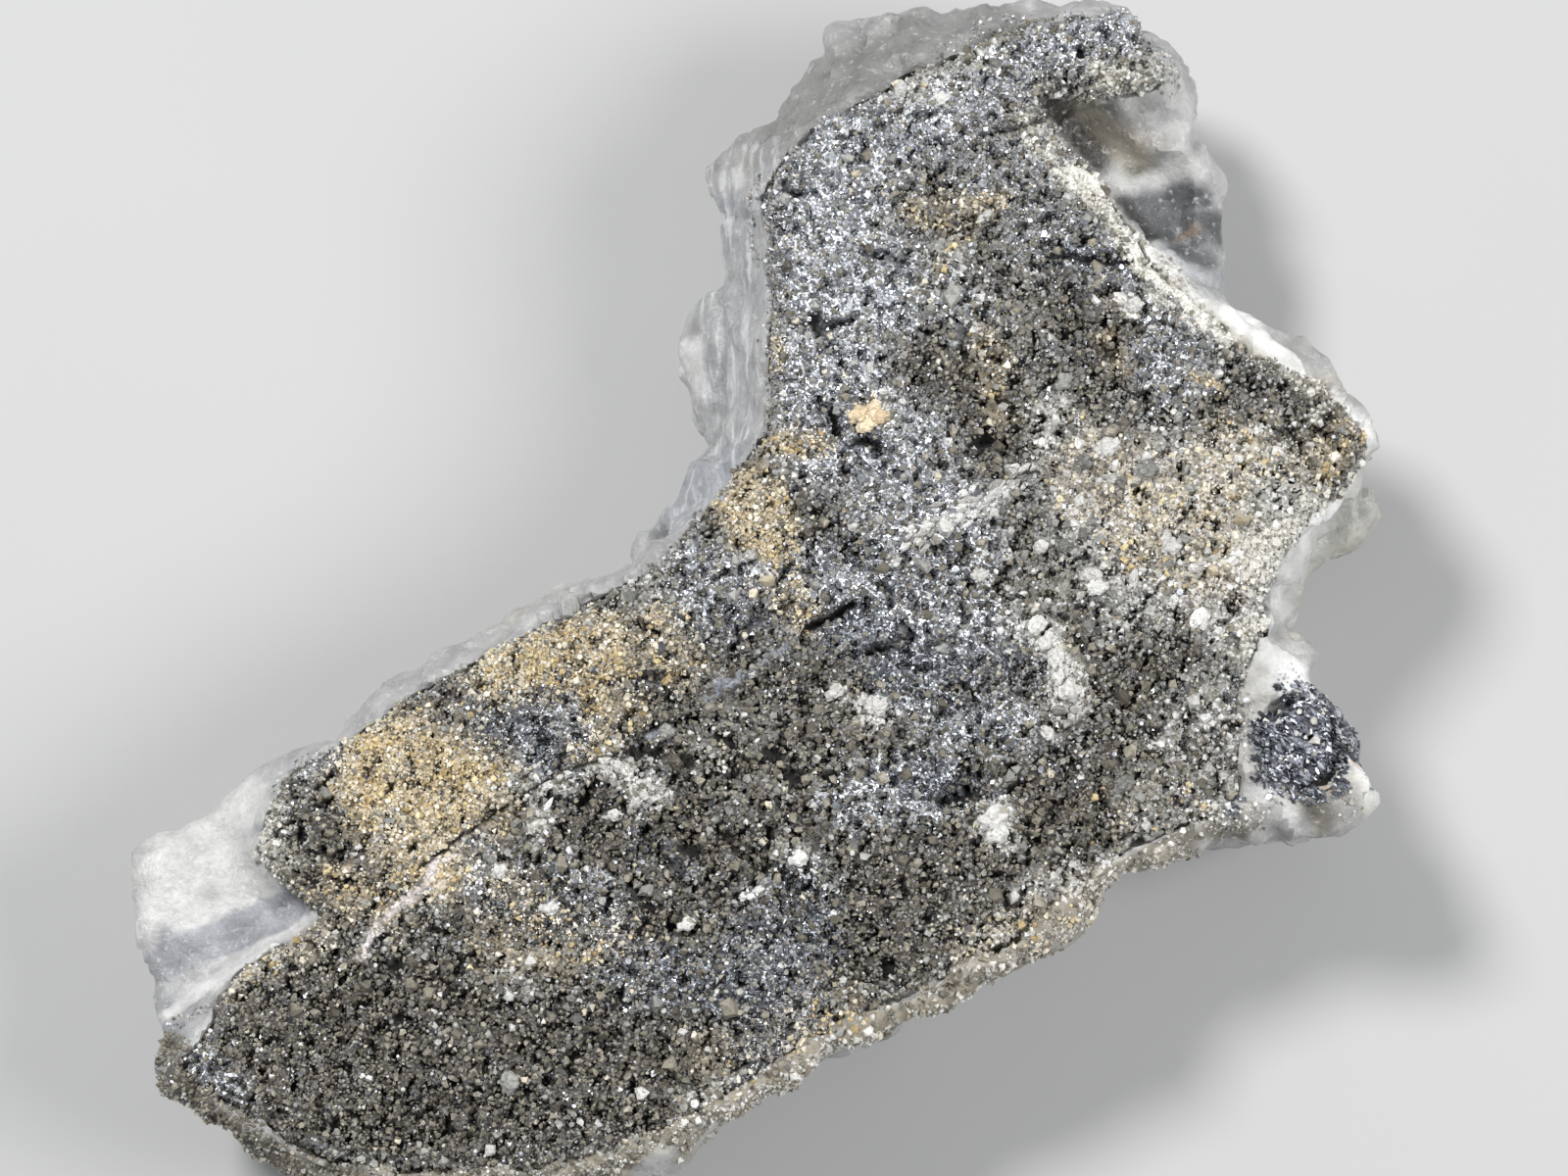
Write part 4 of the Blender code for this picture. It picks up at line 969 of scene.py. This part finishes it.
def grain_finish():
    """Glassy quartz, speckled with fine dark dust and lit from inside."""
    made, paint, feed = new_finish("quartz_grains", IOR=1.54,
                                   Subsurface_Weight=0.2,
                                   Subsurface_Scale=0.3 * MM,
                                   Subsurface_Radius=(1.0, 0.9, 0.75))
    spot = paint.place()
    fine = paint.clouds(spot, 0.20, 3.0, 0.7)
    dust = paint.clouds(spot, 0.11, 2.0, 0.6).between(0.56, 0.66)
    body = (fine * 0.9 + 0.58).shaded(paint.attribute("tint", "Color"))
    feed("Base Color", (dust * 0.45).mixed(body, (0.05, 0.047, 0.043, 1.0)))
    feed("Roughness", fine * 0.4 + 0.22)
    feed("Normal", paint.bumped(fine, 0.5, 0.05))
    return made


def dressed(piece, finish):
    """Gives a finished piece its material, and fixes it to the body."""
    piece.data.materials.append(finish)
    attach(piece, "root")


def grain_gaps(spread):
    """How far apart the grains are: wide in pale quartz, fine in stain."""
    gaps = spread.weighed(0.285, (0.10, PALE_QUARTZ), (0.03, BROWN_GRAINED),
                          (-0.03, SILVERY))
    gaps = gaps * (1.0 + 0.40 * spread.swell(1.6, 5.0))
    for weight, places in ((-0.42, TAN_STAIN), (-0.30, FINE_GRAINED), (-0.35, CREAM)):
        gaps = gaps * spread.weighed(1.0, (weight, places))
    return np.clip(gaps, *GRAIN_GAPS)


def grain_odds(spread):
    """The chance of a grain: small among metal, and none in a pit."""
    odds = spread.weighed(1.0, (-0.80, SILVERY), (-0.35, DARK_STEEL), (0.5, PALE_QUARTZ),
                          (0.4, TAN_STAIN), (1.0, CREAM), (1.0, MILK))
    odds += 0.6 * spread.swell(1.1, 7.0)
    return np.clip(odds, 0.04, 1.0) * (bareness(spread) < 0.15)


def grain_tints(spread, pick):
    """Smoky and grey grains mixed, white and tan ones where those prevail."""
    count = len(spread.points)
    share = held(pick.beta(1.5, 1.7, count) + 0.30 * spread.swell(1.3, 60.0))
    tints = blend_of(GREY, share)
    tan = spread.within(TAN_STAIN)
    for shades, odds in (
            (SMOKY, spread.weighed(0.45, (0.5, BROWN_GRAINED)) + 0.6 * spread.swell(2.3, 33.0)),
            (WHITE, spread.weighed(0.03, (0.55, PALE_QUARTZ))),
            (TAN, tan * (0.75 + 0.4 * spread.swell(1.0, 81.0)) + 0.02),
            (OCHRE, tan * (0.22 + spread.swell(1.9, 44.0))),
            (CREAMY, 0.85 * pale_border(spread))):
        which = pick.random(count) < odds
        tints[which] = blend_of(shades, share)[which]
    return tints


grain_material = grain_finish()
spread, facing, gaps = strewn(ground, grain_gaps, grain_odds, 11,
                              first=LARGE_GRAINS, crowd=GRAIN_CROWD)
spots, widths = spread.points, gaps * GRAIN_WIDTH
tints = grain_tints(spread, np.random.default_rng(12))
# The first spots are the large grains', which are made as knots further on.
count = len(LARGE_GRAINS)
knot_spots, knot_facing = spots[:count], facing[:count]
split = spots[:, 0] + 0.6 * spots[:, 1]
bounds = np.quantile(split, (0.0, 1 / 3, 2 / 3, 1.0))
bounds[-1] += 1.0
for where, low, high in zip(("left", "middle", "right"), bounds, bounds[1:]):
    mine = (split >= low) & (split < high)
    mine[:count] = False
    dressed(grown_together(f"quartz_grains_{where}", spots[mine], facing[mine],
                           widths[mine], tints[mine], (spots, widths), 13),
            grain_material)

# ---------------------------------------------------------------------------
# Crumbs, knots and streaks: splinters of quartz a tenth to a third of a
# millimetre across, caught between the grains; the few large white lumps that
# stand out of them; and slivers drawn out along the vein.
CRUMB_GAP = 0.22
CRUMB_LIFT = 0.14               # crumbs lie up to this high on the ground
KNOT_SHAPE = (1.9, 1.5, 1.1)    # for each millimetre of a knot's half width
KNOT_TURN = (0.88, 0.47, 0.0)
STREAK_SIZES = ((0.35, 0.60), (0.22, 0.20), (0.25, 0.15))       # least, and more
STREAK_WHITE = ((0.36, 0.35, 0.32), (0.84, 0.83, 0.80))

# Streaks of quartz along the vein: x, y to x, y, half width, number.
STREAKS = (
    (13.6, 5.6, 10.6, 3.7, 0.50, 34), (10.6, 3.7, 7.6, 1.6, 0.60, 44),
    (7.6, 1.6, 5.8, 0.2, 0.40, 8), (20.4, -0.4, 24.4, 0.9, 0.8, 14),
    (-9.4, -9.9, -11.4, -11.6, 0.5, 6), (17.2, 4.6, 19.6, 5.4, 0.9, 8),
    (-1.6, -17.2, 0.6, -15.6, 0.4, 4),
)


def taken_apart(piece):
    """A small modelled shape as points and faces; the piece itself goes."""
    points = corners(piece)
    faces = [tuple(face.vertices) for face in piece.data.polygons]
    bpy.data.objects.remove(piece, do_unlink=True)
    return points, faces


def splinter(seed, depth, sides=5):
    """A chip about 1 mm across: flat on top, pointed below."""
    bpy.ops.object.select_all(action='DESELECT')
    bpy.ops.mesh.primitive_cone_add(vertices=sides, radius1=0.5 * MM, radius2=0.0,
                                    depth=depth * MM, rotation=(math.pi, 0.0, 0.0))
    bpy.ops.object.transform_apply(location=True, rotation=True, scale=True)
    bpy.ops.object.mode_set(mode='EDIT')
    bpy.ops.mesh.select_all(action='SELECT')
    bpy.ops.transform.vertex_random(offset=0.10 * MM, seed=seed)
    bpy.ops.object.mode_set(mode='OBJECT')
    return taken_apart(bpy.context.active_object)


def lump(seed, fineness=4):
    """A knot of massive quartz about 1 mm across, broken in small faces."""
    bpy.ops.object.select_all(action='DESELECT')
    bpy.ops.mesh.primitive_ico_sphere_add(subdivisions=fineness, radius=0.5 * MM)
    points, faces = taken_apart(bpy.context.active_object)
    out = points * 2.0
    rise = (0.16 * swell(points, 0.45, seed) + facets(points, 0.34, 1.1, seed)
            + facets(points, 0.15, 0.7, seed))
    return points + out * rise[:, None], faces


def joined(name, shapes, spots, facing, sizes, lean, tints, seed, along=None):
    """Many copies of small shapes as one mesh.  Each stands on the surface,
    leans at random and is turned at random, or to lie along a direction."""
    pick = np.random.default_rng(seed)
    count = len(spots)
    upright = unit(facing + lean * unit(pick.normal(size=(count, 3))))
    heading = pick.normal(size=(count, 3))
    if along is not None:
        heading = np.cross(upright, np.array(along) + 0.2 * heading)
    side = unit(np.cross(upright, heading))
    turn = np.stack([side, np.cross(upright, side), upright], axis=2)
    turn = turn * sizes[:, None, :]
    kind = pick.integers(len(shapes), size=count)
    batches = []
    for number, (points, faces) in enumerate(shapes):
        mine = np.nonzero(kind == number)[0]
        placed = np.einsum('nij,kj->nki', turn[mine], points) + spots[mine][:, None]
        flat = np.tile(points[:, :2], (len(mine), 1, 1))
        batches.append((placed, faces, tints[mine], flat))
    return one_mesh(name, batches)


def alike(widths, stretch=(1.0, 1.0, 1.0)):
    """The same size in all directions, but for an overall stretch."""
    return widths[:, None] * np.array(stretch)


def crumb_odds(spread):
    odds = spread.weighed(0.32, (-0.24, SILVERY), (0.22, TAN_STAIN), (0.3, CREAM),
                          (0.3, MILK))
    return np.clip(odds, 0.03, 1.0) * (bareness(spread) < 0.2)


splinters = [splinter(3, 0.9), splinter(4, 0.7), splinter(6, 1.1)]
spread, facing, gaps = strewn(ground, CRUMB_GAP, crumb_odds, 21)
pick = np.random.default_rng(22)
spots = spread.points + facing * (CRUMB_LIFT * pick.random(len(gaps)))[:, None]
dressed(joined("quartz_crumbs", splinters, spots, facing, alike(gaps * 0.90), 1.2,
               grain_tints(spread, pick), 23),
        grain_material)

pick = np.random.default_rng(24)
sizes = np.array([one[2] for one in LARGE_GRAINS])[:, None] * (
    np.array(KNOT_SHAPE) + 0.6 * pick.random((count, 3)))
tints = np.array([blend_of(one[3], pick.random(1) * 0.6)[0] for one in LARGE_GRAINS])
dressed(joined("quartz_knots", [lump(5.0), lump(11.0, 3), lump(23.0, 3)],
               knot_spots + knot_facing * 0.05, knot_facing, sizes, 0.2, tints, 25,
               KNOT_TURN),
        grain_material)

# Along the vein, quartz is drawn out into splinters that lie with it.
ground_points = corners(ground)
strips = []
for ax, ay, bx, by, half_width, number in STREAKS:
    share, across = pick.random(number), pick.normal(0.0, 0.5, number) * half_width
    strip = np.array([bx - ax, by - ay])
    places = np.array([ax, ay]) + share[:, None] * strip
    strip /= np.linalg.norm(strip)
    places += across[:, None] * np.array([-strip[1], strip[0]])
    strips += [(x, y, *strip) for x, y in places]
strips = np.array(strips)
nearest = [int(np.argmin(((ground_points[:, :2] - strip[:2]) ** 2).sum(axis=1)
                         - 0.02 * ground_points[:, 2])) for strip in strips]
count = len(strips)
sizes = np.stack([least + more * pick.random(count) for least, more in STREAK_SIZES],
                 axis=1)
upward = np.tile((0.0, 0.0, 1.0), (count, 1))
dressed(joined("vein_quartz_streaks", [lump(7.0, 3), lump(13.0, 3)],
               ground_points[nearest] + 0.03 * upward, upward, sizes, 0.30,
               blend_of(STREAK_WHITE, pick.random(count)), 26,
               np.column_stack([strips[:, 2:], np.zeros(count)])),
        grain_material)

# ---------------------------------------------------------------------------
# The polybasite: metallic chips and six-sided plates, mostly under a quarter
# of a millimetre, at all angles in the silvery places and loose between the
# quartz grains elsewhere.  They glint where they face the light.
CHIP_GAP = 0.125
CHIP_LIFT = (0.02, 0.14)         # chips stand this far out of the ground, to this more
CHIP_SHAPE = (1.0, 0.8, 0.5)
CHIP_SPLIT = 4.0                 # the chips' pieces meet at this y
PLATE_GAP = 0.45
STEEL = ((0.29, 0.30, 0.325), (0.81, 0.83, 0.88))
BLUE_STEEL = ((0.10, 0.107, 0.125), (0.56, 0.58, 0.61))
LOWER_DARKENING = (8.0, 12.0, 0.24)      # from this y down over this far, this much darker


def plate(seed, thickness, taper):
    """A tabular six-sided crystal about 1 mm across, drawn in on top."""
    bpy.ops.object.select_all(action='DESELECT')
    bpy.ops.mesh.primitive_cylinder_add(vertices=6, radius=0.5 * MM,
                                        depth=thickness * MM)
    piece = bpy.context.active_object
    bpy.ops.object.mode_set(mode='EDIT')
    bpy.ops.mesh.select_all(action='DESELECT')
    bpy.ops.object.mode_set(mode='OBJECT')
    for face in piece.data.polygons:
        face.select = face.normal.z > 0.9
    bpy.ops.object.mode_set(mode='EDIT')
    bpy.ops.transform.resize(value=(taper, taper, 1.0))
    bpy.ops.mesh.select_all(action='SELECT')
    bpy.ops.transform.vertex_random(offset=0.05 * MM, seed=seed)
    bpy.ops.object.mode_set(mode='OBJECT')
    return taken_apart(piece)


def metal_finish():
    """Bright grey metal, a little uneven in colour and polish."""
    made, paint, feed = new_finish("polybasite_metal", Metallic=1.0)
    fine = paint.clouds(paint.place(), 0.12, 2.0, 0.6)
    feed("Base Color", (fine * 0.6 + 0.7).shaded(paint.attribute("tint", "Color")))
    feed("Roughness", fine * 0.3 + 0.27)
    return made


def metal_odds(spread):
    """The chance of a chip: high in silvery places, none on bare quartz."""
    odds = spread.weighed(0.11, (0.62, SILVERY), (0.45, DARK_STEEL), (-0.1, TAN_STAIN),
                          (-0.1, PALE_QUARTZ), (-0.05, BROWN_GRAINED))
    odds = np.clip(odds + 0.30 * spread.swell(0.9, 27.0), 0.04, 1.0)
    return odds * (1.0 - 0.9 * pale_border(spread)) * (bareness(spread) < 0.15)


def metal_tints(spread, pick):
    """Steel, blacker where it is dark or brown, and darker towards the lower end."""
    share = pick.beta(1.2, 1.2, len(spread.points))
    dark = held(spread.weighed(0.0, (0.9, DARK_STEEL), (0.70, BROWN_GRAINED)))[:, None]
    # The chips get darker towards the lower end.
    start, reach, loss = LOWER_DARKENING
    darker_below = loss * held((start - spread.points[:, 1]) / reach)
    tints = blend_of(STEEL, share) * (1.0 - dark) + blend_of(BLUE_STEEL, share) * dark
    return tints * (1.0 - darker_below)[:, None]


metal = metal_finish()
plates = [plate(2, 0.30, 0.80), plate(5, 0.22, 0.90), plate(9, 0.42, 0.72)]
slivers = [splinter(3, 0.9, 3), splinter(4, 0.7, 3), splinter(7, 0.8, 4)]
spread, facing, gaps = strewn(ground, CHIP_GAP, metal_odds, 31)
pick = np.random.default_rng(32)
lift = CHIP_LIFT[0] + CHIP_LIFT[1] * pick.random(len(gaps))
spots = spread.points + facing * lift[:, None]
tints = metal_tints(spread, pick)
for where, mine in (("upper", spots[:, 1] >= CHIP_SPLIT),
                    ("lower", spots[:, 1] < CHIP_SPLIT)):
    dressed(joined(f"polybasite_chips_{where}", slivers, spots[mine], facing[mine],
                   alike(gaps[mine] * 1.3, CHIP_SHAPE), 0.80, tints[mine], 33),
            metal)

spread, facing, gaps = strewn(ground, PLATE_GAP,
                              lambda spread: 0.5 * metal_odds(spread), 41)
dressed(joined("polybasite_plates", plates, spread.points + facing * 0.12, facing,
               alike(gaps * 0.60), 0.8, metal_tints(spread, np.random.default_rng(42)), 43),
        metal)

# ---------------------------------------------------------------------------
# Beside the crust: chips of metal and crumbs of quartz that thin out over
# the bare quartz, so that the crust has no hard edge there, and sugary brown
# and cream grains over the slab's lower and lower left brim.
METAL_SPECKS = (
    (14.3, 27.7, 20.5, 29.8, 1.3, 0.95), (20.5, 29.5, 22.6, 27.6, 0.8, 0.5),
    (10.4, 28.2, 13.4, 29.3, 0.9, 0.35), (-0.2, 21.5, -0.5, 17.3, 0.3, 0.4),
    (0.1, 15.3, 0.3, 9.0, 0.25, 0.4), (20.8, 15.5, 24.3, 11.9, 0.5, 0.3),
    (24.2, -0.1, 24.8, -2.6, 0.8, 0.5), (23.0, -4.7, 24.7, -8.7, 1.1, 0.30),
    (26.2, -5.4, 27.2, -5.0, 0.35, 0.5), (27.4, -5.9, 29.2, -6.9, 0.5, 0.8),
    (24.5, -7.7, 25.9, -11.7, 0.5, 0.7), (21.7, -10.7, 23.6, -12.2, 0.6, 0.7),
    (-30.0, -22.8, -28.6, -22.6, 0.4, 0.9), (-24.3, -10.2, -21.6, -8.9, 0.4, 0.7),
    (30.5, -7.6, 30.9, -10.2, 0.4, 0.5), (-30.8, -25.2, -28.4, -27.7, 0.5, 0.9),
)
QUARTZ_SPECKS = (
    (-22.0, -31.0, -9.0, -30.6, 0.5, 0.7), (-9.0, -30.6, 1.0, -26.2, 0.6, 0.9),
    (1.0, -26.2, 11.0, -21.6, 0.5, 0.9), (11.0, -21.6, 17.0, -16.6, 0.5, 0.9),
    (17.0, -16.6, 21.5, -14.4, 0.6, 0.9), (21.5, -12.6, 25.6, -12.2, 0.5, 0.8),
    (28.4, -9.8, 29.6, -11.6, 0.6, 0.8), (23.0, 12.0, 28.5, 9.0, 0.6, 0.6),
    (16.3, 22.2, 22.0, 15.0, 0.5, 0.6), (25.0, 3.0, 24.6, -3.0, 0.6, 0.5),
    (15.8, 27.2, 21.4, 27.0, 0.7, 0.7),
)
EDGE_CRUMB_GAP, EDGE_CRUMB_FOOT = 0.20, 12.6    # spacing, and the lowest ones' height
EDGE_GRAIN_GAP, EDGE_GRAIN_FOOT = 0.26, 12.4
EDGE_QUARTZ = ((0.26, 0.235, 0.19), (0.82, 0.80, 0.74))

spread, facing, gaps = strewn(
    slab, EDGE_CRUMB_GAP, lambda spread: 0.9 * np.maximum(
        spread.within(METAL_SPECKS), spread.within(QUARTZ_SPECKS)),
    61, lowest=EDGE_CRUMB_FOOT)
pick = np.random.default_rng(62)
steel, quartz = spread.within(METAL_SPECKS), spread.within(QUARTZ_SPECKS)
metallic = pick.random(len(gaps)) < 0.7 * (steel / np.maximum(steel + quartz, 0.01))
for name, mine, sizes, lean, shades, even, seed, finish, slot in (
        ("edge_chips", metallic, alike(gaps * 0.95, CHIP_SHAPE), 0.9, STEEL, (1.2, 1.4),
         63, metal, "polybasite_plates"),
        ("edge_crumbs", ~metallic, alike(gaps * 0.85), 1.2, EDGE_QUARTZ, (1.6, 1.2),
         64, grain_material, "milky_quartz")):
    dressed(joined(name, splinters, spread.points[mine], facing[mine], sizes[mine], lean,
                   blend_of(shades, pick.beta(*even, int(mine.sum()))), seed),
            finish)

spread, facing, gaps = strewn(
    slab, EDGE_GRAIN_GAP, lambda spread: np.maximum(
        1.2 * spread.within(BRIM_CRUST, 0.5), 0.55 * spread.within(LOWER_BORDER, 0.5)),
    66, lowest=EDGE_GRAIN_FOOT)
spots, widths = spread.points, gaps * 0.62
dressed(grown_together("edge_grains", spots, facing, widths,
                       grain_tints(spread, np.random.default_rng(67)),
                       (spots, widths), 68),
        grain_material)

# ---------------------------------------------------------------------------
# The corner patch: the same mineral, blacker and coarser, alone on bare
# quartz.  Its plates lie in slanting rows, with a few quartz crumbs.
ROW_DIRECTION = (0.88, -0.47, 0.0)
ROW_PLATE = (1.4, 0.55, 0.7)
PATCH_STEEL = ((0.10, 0.11, 0.135), (0.78, 0.80, 0.86))
PATCH_METAL = 0.9
PATCH_FOOT = 12.8               # its plates' lowest place, and that of the ones
PATCH_REACH_FOOT = 12.0         # that lie round it
PATCH_REACH = ((25.6, -7.6, 28.6, -6.9, 0.45, 1.0), (28.5, -6.4, 29.3, -7.4, 0.5, 0.9),
               (29.0, -7.4, 30.0, -8.8, 0.55, 1.0), (29.3, -9.4, 29.2, -10.9, 0.4, 0.9),
               (25.0, -8.0, 25.2, -9.3, 0.35, 1.0), (25.1, -10.3, 26.6, -11.4, 0.35, 1.0),
               (26.6, -11.5, 28.8, -11.2, 0.35, 0.9), (26.2, -5.4, 26.9, -6.6, 0.3, 0.6),
               (27.3, -5.5, 28.2, -6.2, 0.35, 0.7), (29.8, -7.8, 30.4, -9.0, 0.25, 0.8),
               (22.4, -10.6, 24.0, -11.6, 0.40, 0.8), (22.2, -7.4, 23.4, -8.8, 0.5, 0.3))

patch, spread = grown_ground("corner_polybasite_patch", "corner_patch_ground",
                             PATCH_FILL)
count = len(spread.points)
keep_share(patch, "crystals", np.ones(count))
keep_share(patch, "metal", np.full(count, PATCH_METAL))
keep_tint(patch, painted(count, (0.20, 0.21, 0.235)))
patch.data.materials.append(ground_material)
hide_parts("corner_polybasite_patch")
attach(patch, "root")

spread, facing, gaps = strewn(patch, 0.21, lambda spread: np.ones(len(spread.points)),
                              51, lowest=PATCH_FOOT)
near, near_facing, near_gaps = strewn(
    slab, 0.16, lambda spread: 1.3 * spread.within(PATCH_REACH, 0.5), 54,
    lowest=PATCH_REACH_FOOT)
spots = np.concatenate([spread.points, near.points])
facing = np.concatenate([facing, near_facing])
gaps = np.concatenate([gaps, 1.2 * near_gaps])
pick = np.random.default_rng(52)
tints = blend_of(PATCH_STEEL, pick.beta(1.0, 1.3, len(spots)))
tints[len(spread.points):] *= 0.6
dressed(joined("corner_patch_plates", plates, spots + facing * 0.06, facing,
               alike(gaps * 1.45, ROW_PLATE), 0.75, tints, 53, ROW_DIRECTION),
        metal)

spread, facing, gaps = strewn(
    patch, 0.26, lambda spread: 0.05 + 0.5 * held(spread.swell(1.0, 17.0) - 0.3), 57)
pick = np.random.default_rng(58)
dressed(joined("corner_patch_crumbs", splinters, spread.points + facing * 0.12, facing,
               alike(gaps), 1.0, blend_of(CREAMY, pick.random(len(gaps))), 59),
        grain_material)

# ---------------------------------------------------------------------------
# The place it is seen in: a pale plain floor, a large soft lamp to the upper
# left, a weaker one opposite, and a camera that looks almost straight down.
FLOOR_Z = -0.05
FLOOR_SIZE = 3000.0
FLOOR_GREYS = ((0.50, 0.50, 0.495, 1.0), (0.54, 0.54, 0.535, 1.0))
SKY, SKY_STRENGTH = (0.93, 0.96, 1.0, 1.0), 0.30
CAMERA_TARGET = Vector((1.07, -0.58, 15.0))
CAMERA_DISTANCE = 300.0
CAMERA_ELEVATION = math.radians(78.0)
CAMERA_LENS, CAMERA_FILM = 135.0, 36.0

bpy.ops.object.select_all(action='DESELECT')
bpy.ops.mesh.primitive_plane_add(size=FLOOR_SIZE * MM,
                                 location=(0.0, 0.0, FLOOR_Z * MM))
floor = bpy.context.active_object
floor.name = "floor"
made, paint, feed = new_finish("pale_floor", Roughness=0.8)
feed("Base Color", paint.clouds(paint.place(), 60.0).mixed(*FLOOR_GREYS))
floor.data.materials.append(made)


def soft_lamp(name, place, width, watts):
    place = Vector(place) * MM
    bpy.ops.object.light_add(type='AREA', location=place)
    lamp = bpy.context.active_object
    lamp.name = name
    lamp.data.shape = 'DISK'
    lamp.data.size = width * MM
    lamp.data.energy = watts
    lamp.rotation_euler = (-place).to_track_quat('-Z', 'Y').to_euler()


soft_lamp("key_lamp", (-170.0, 150.0, 380.0), 110.0, 1.6)
soft_lamp("fill_lamp", (270.0, -60.0, 290.0), 200.0, 0.95)

sky = bpy.data.worlds.new("studio")
sky.use_nodes = True
light = sky.node_tree.nodes["Background"].inputs
light["Color"].default_value, light["Strength"].default_value = SKY, SKY_STRENGTH
bpy.context.scene.world = sky
bpy.context.scene.view_settings.view_transform = 'Standard'

back = Vector((0.0, -math.cos(CAMERA_ELEVATION), math.sin(CAMERA_ELEVATION)))
bpy.ops.object.camera_add(
    location=(CAMERA_TARGET + back * CAMERA_DISTANCE) * MM,
    rotation=(math.pi / 2.0 - CAMERA_ELEVATION, 0.0, 0.0))
camera = bpy.context.active_object
camera.data.lens, camera.data.sensor_width = CAMERA_LENS, CAMERA_FILM
camera.data.clip_start = 0.01
bpy.context.scene.camera = camera
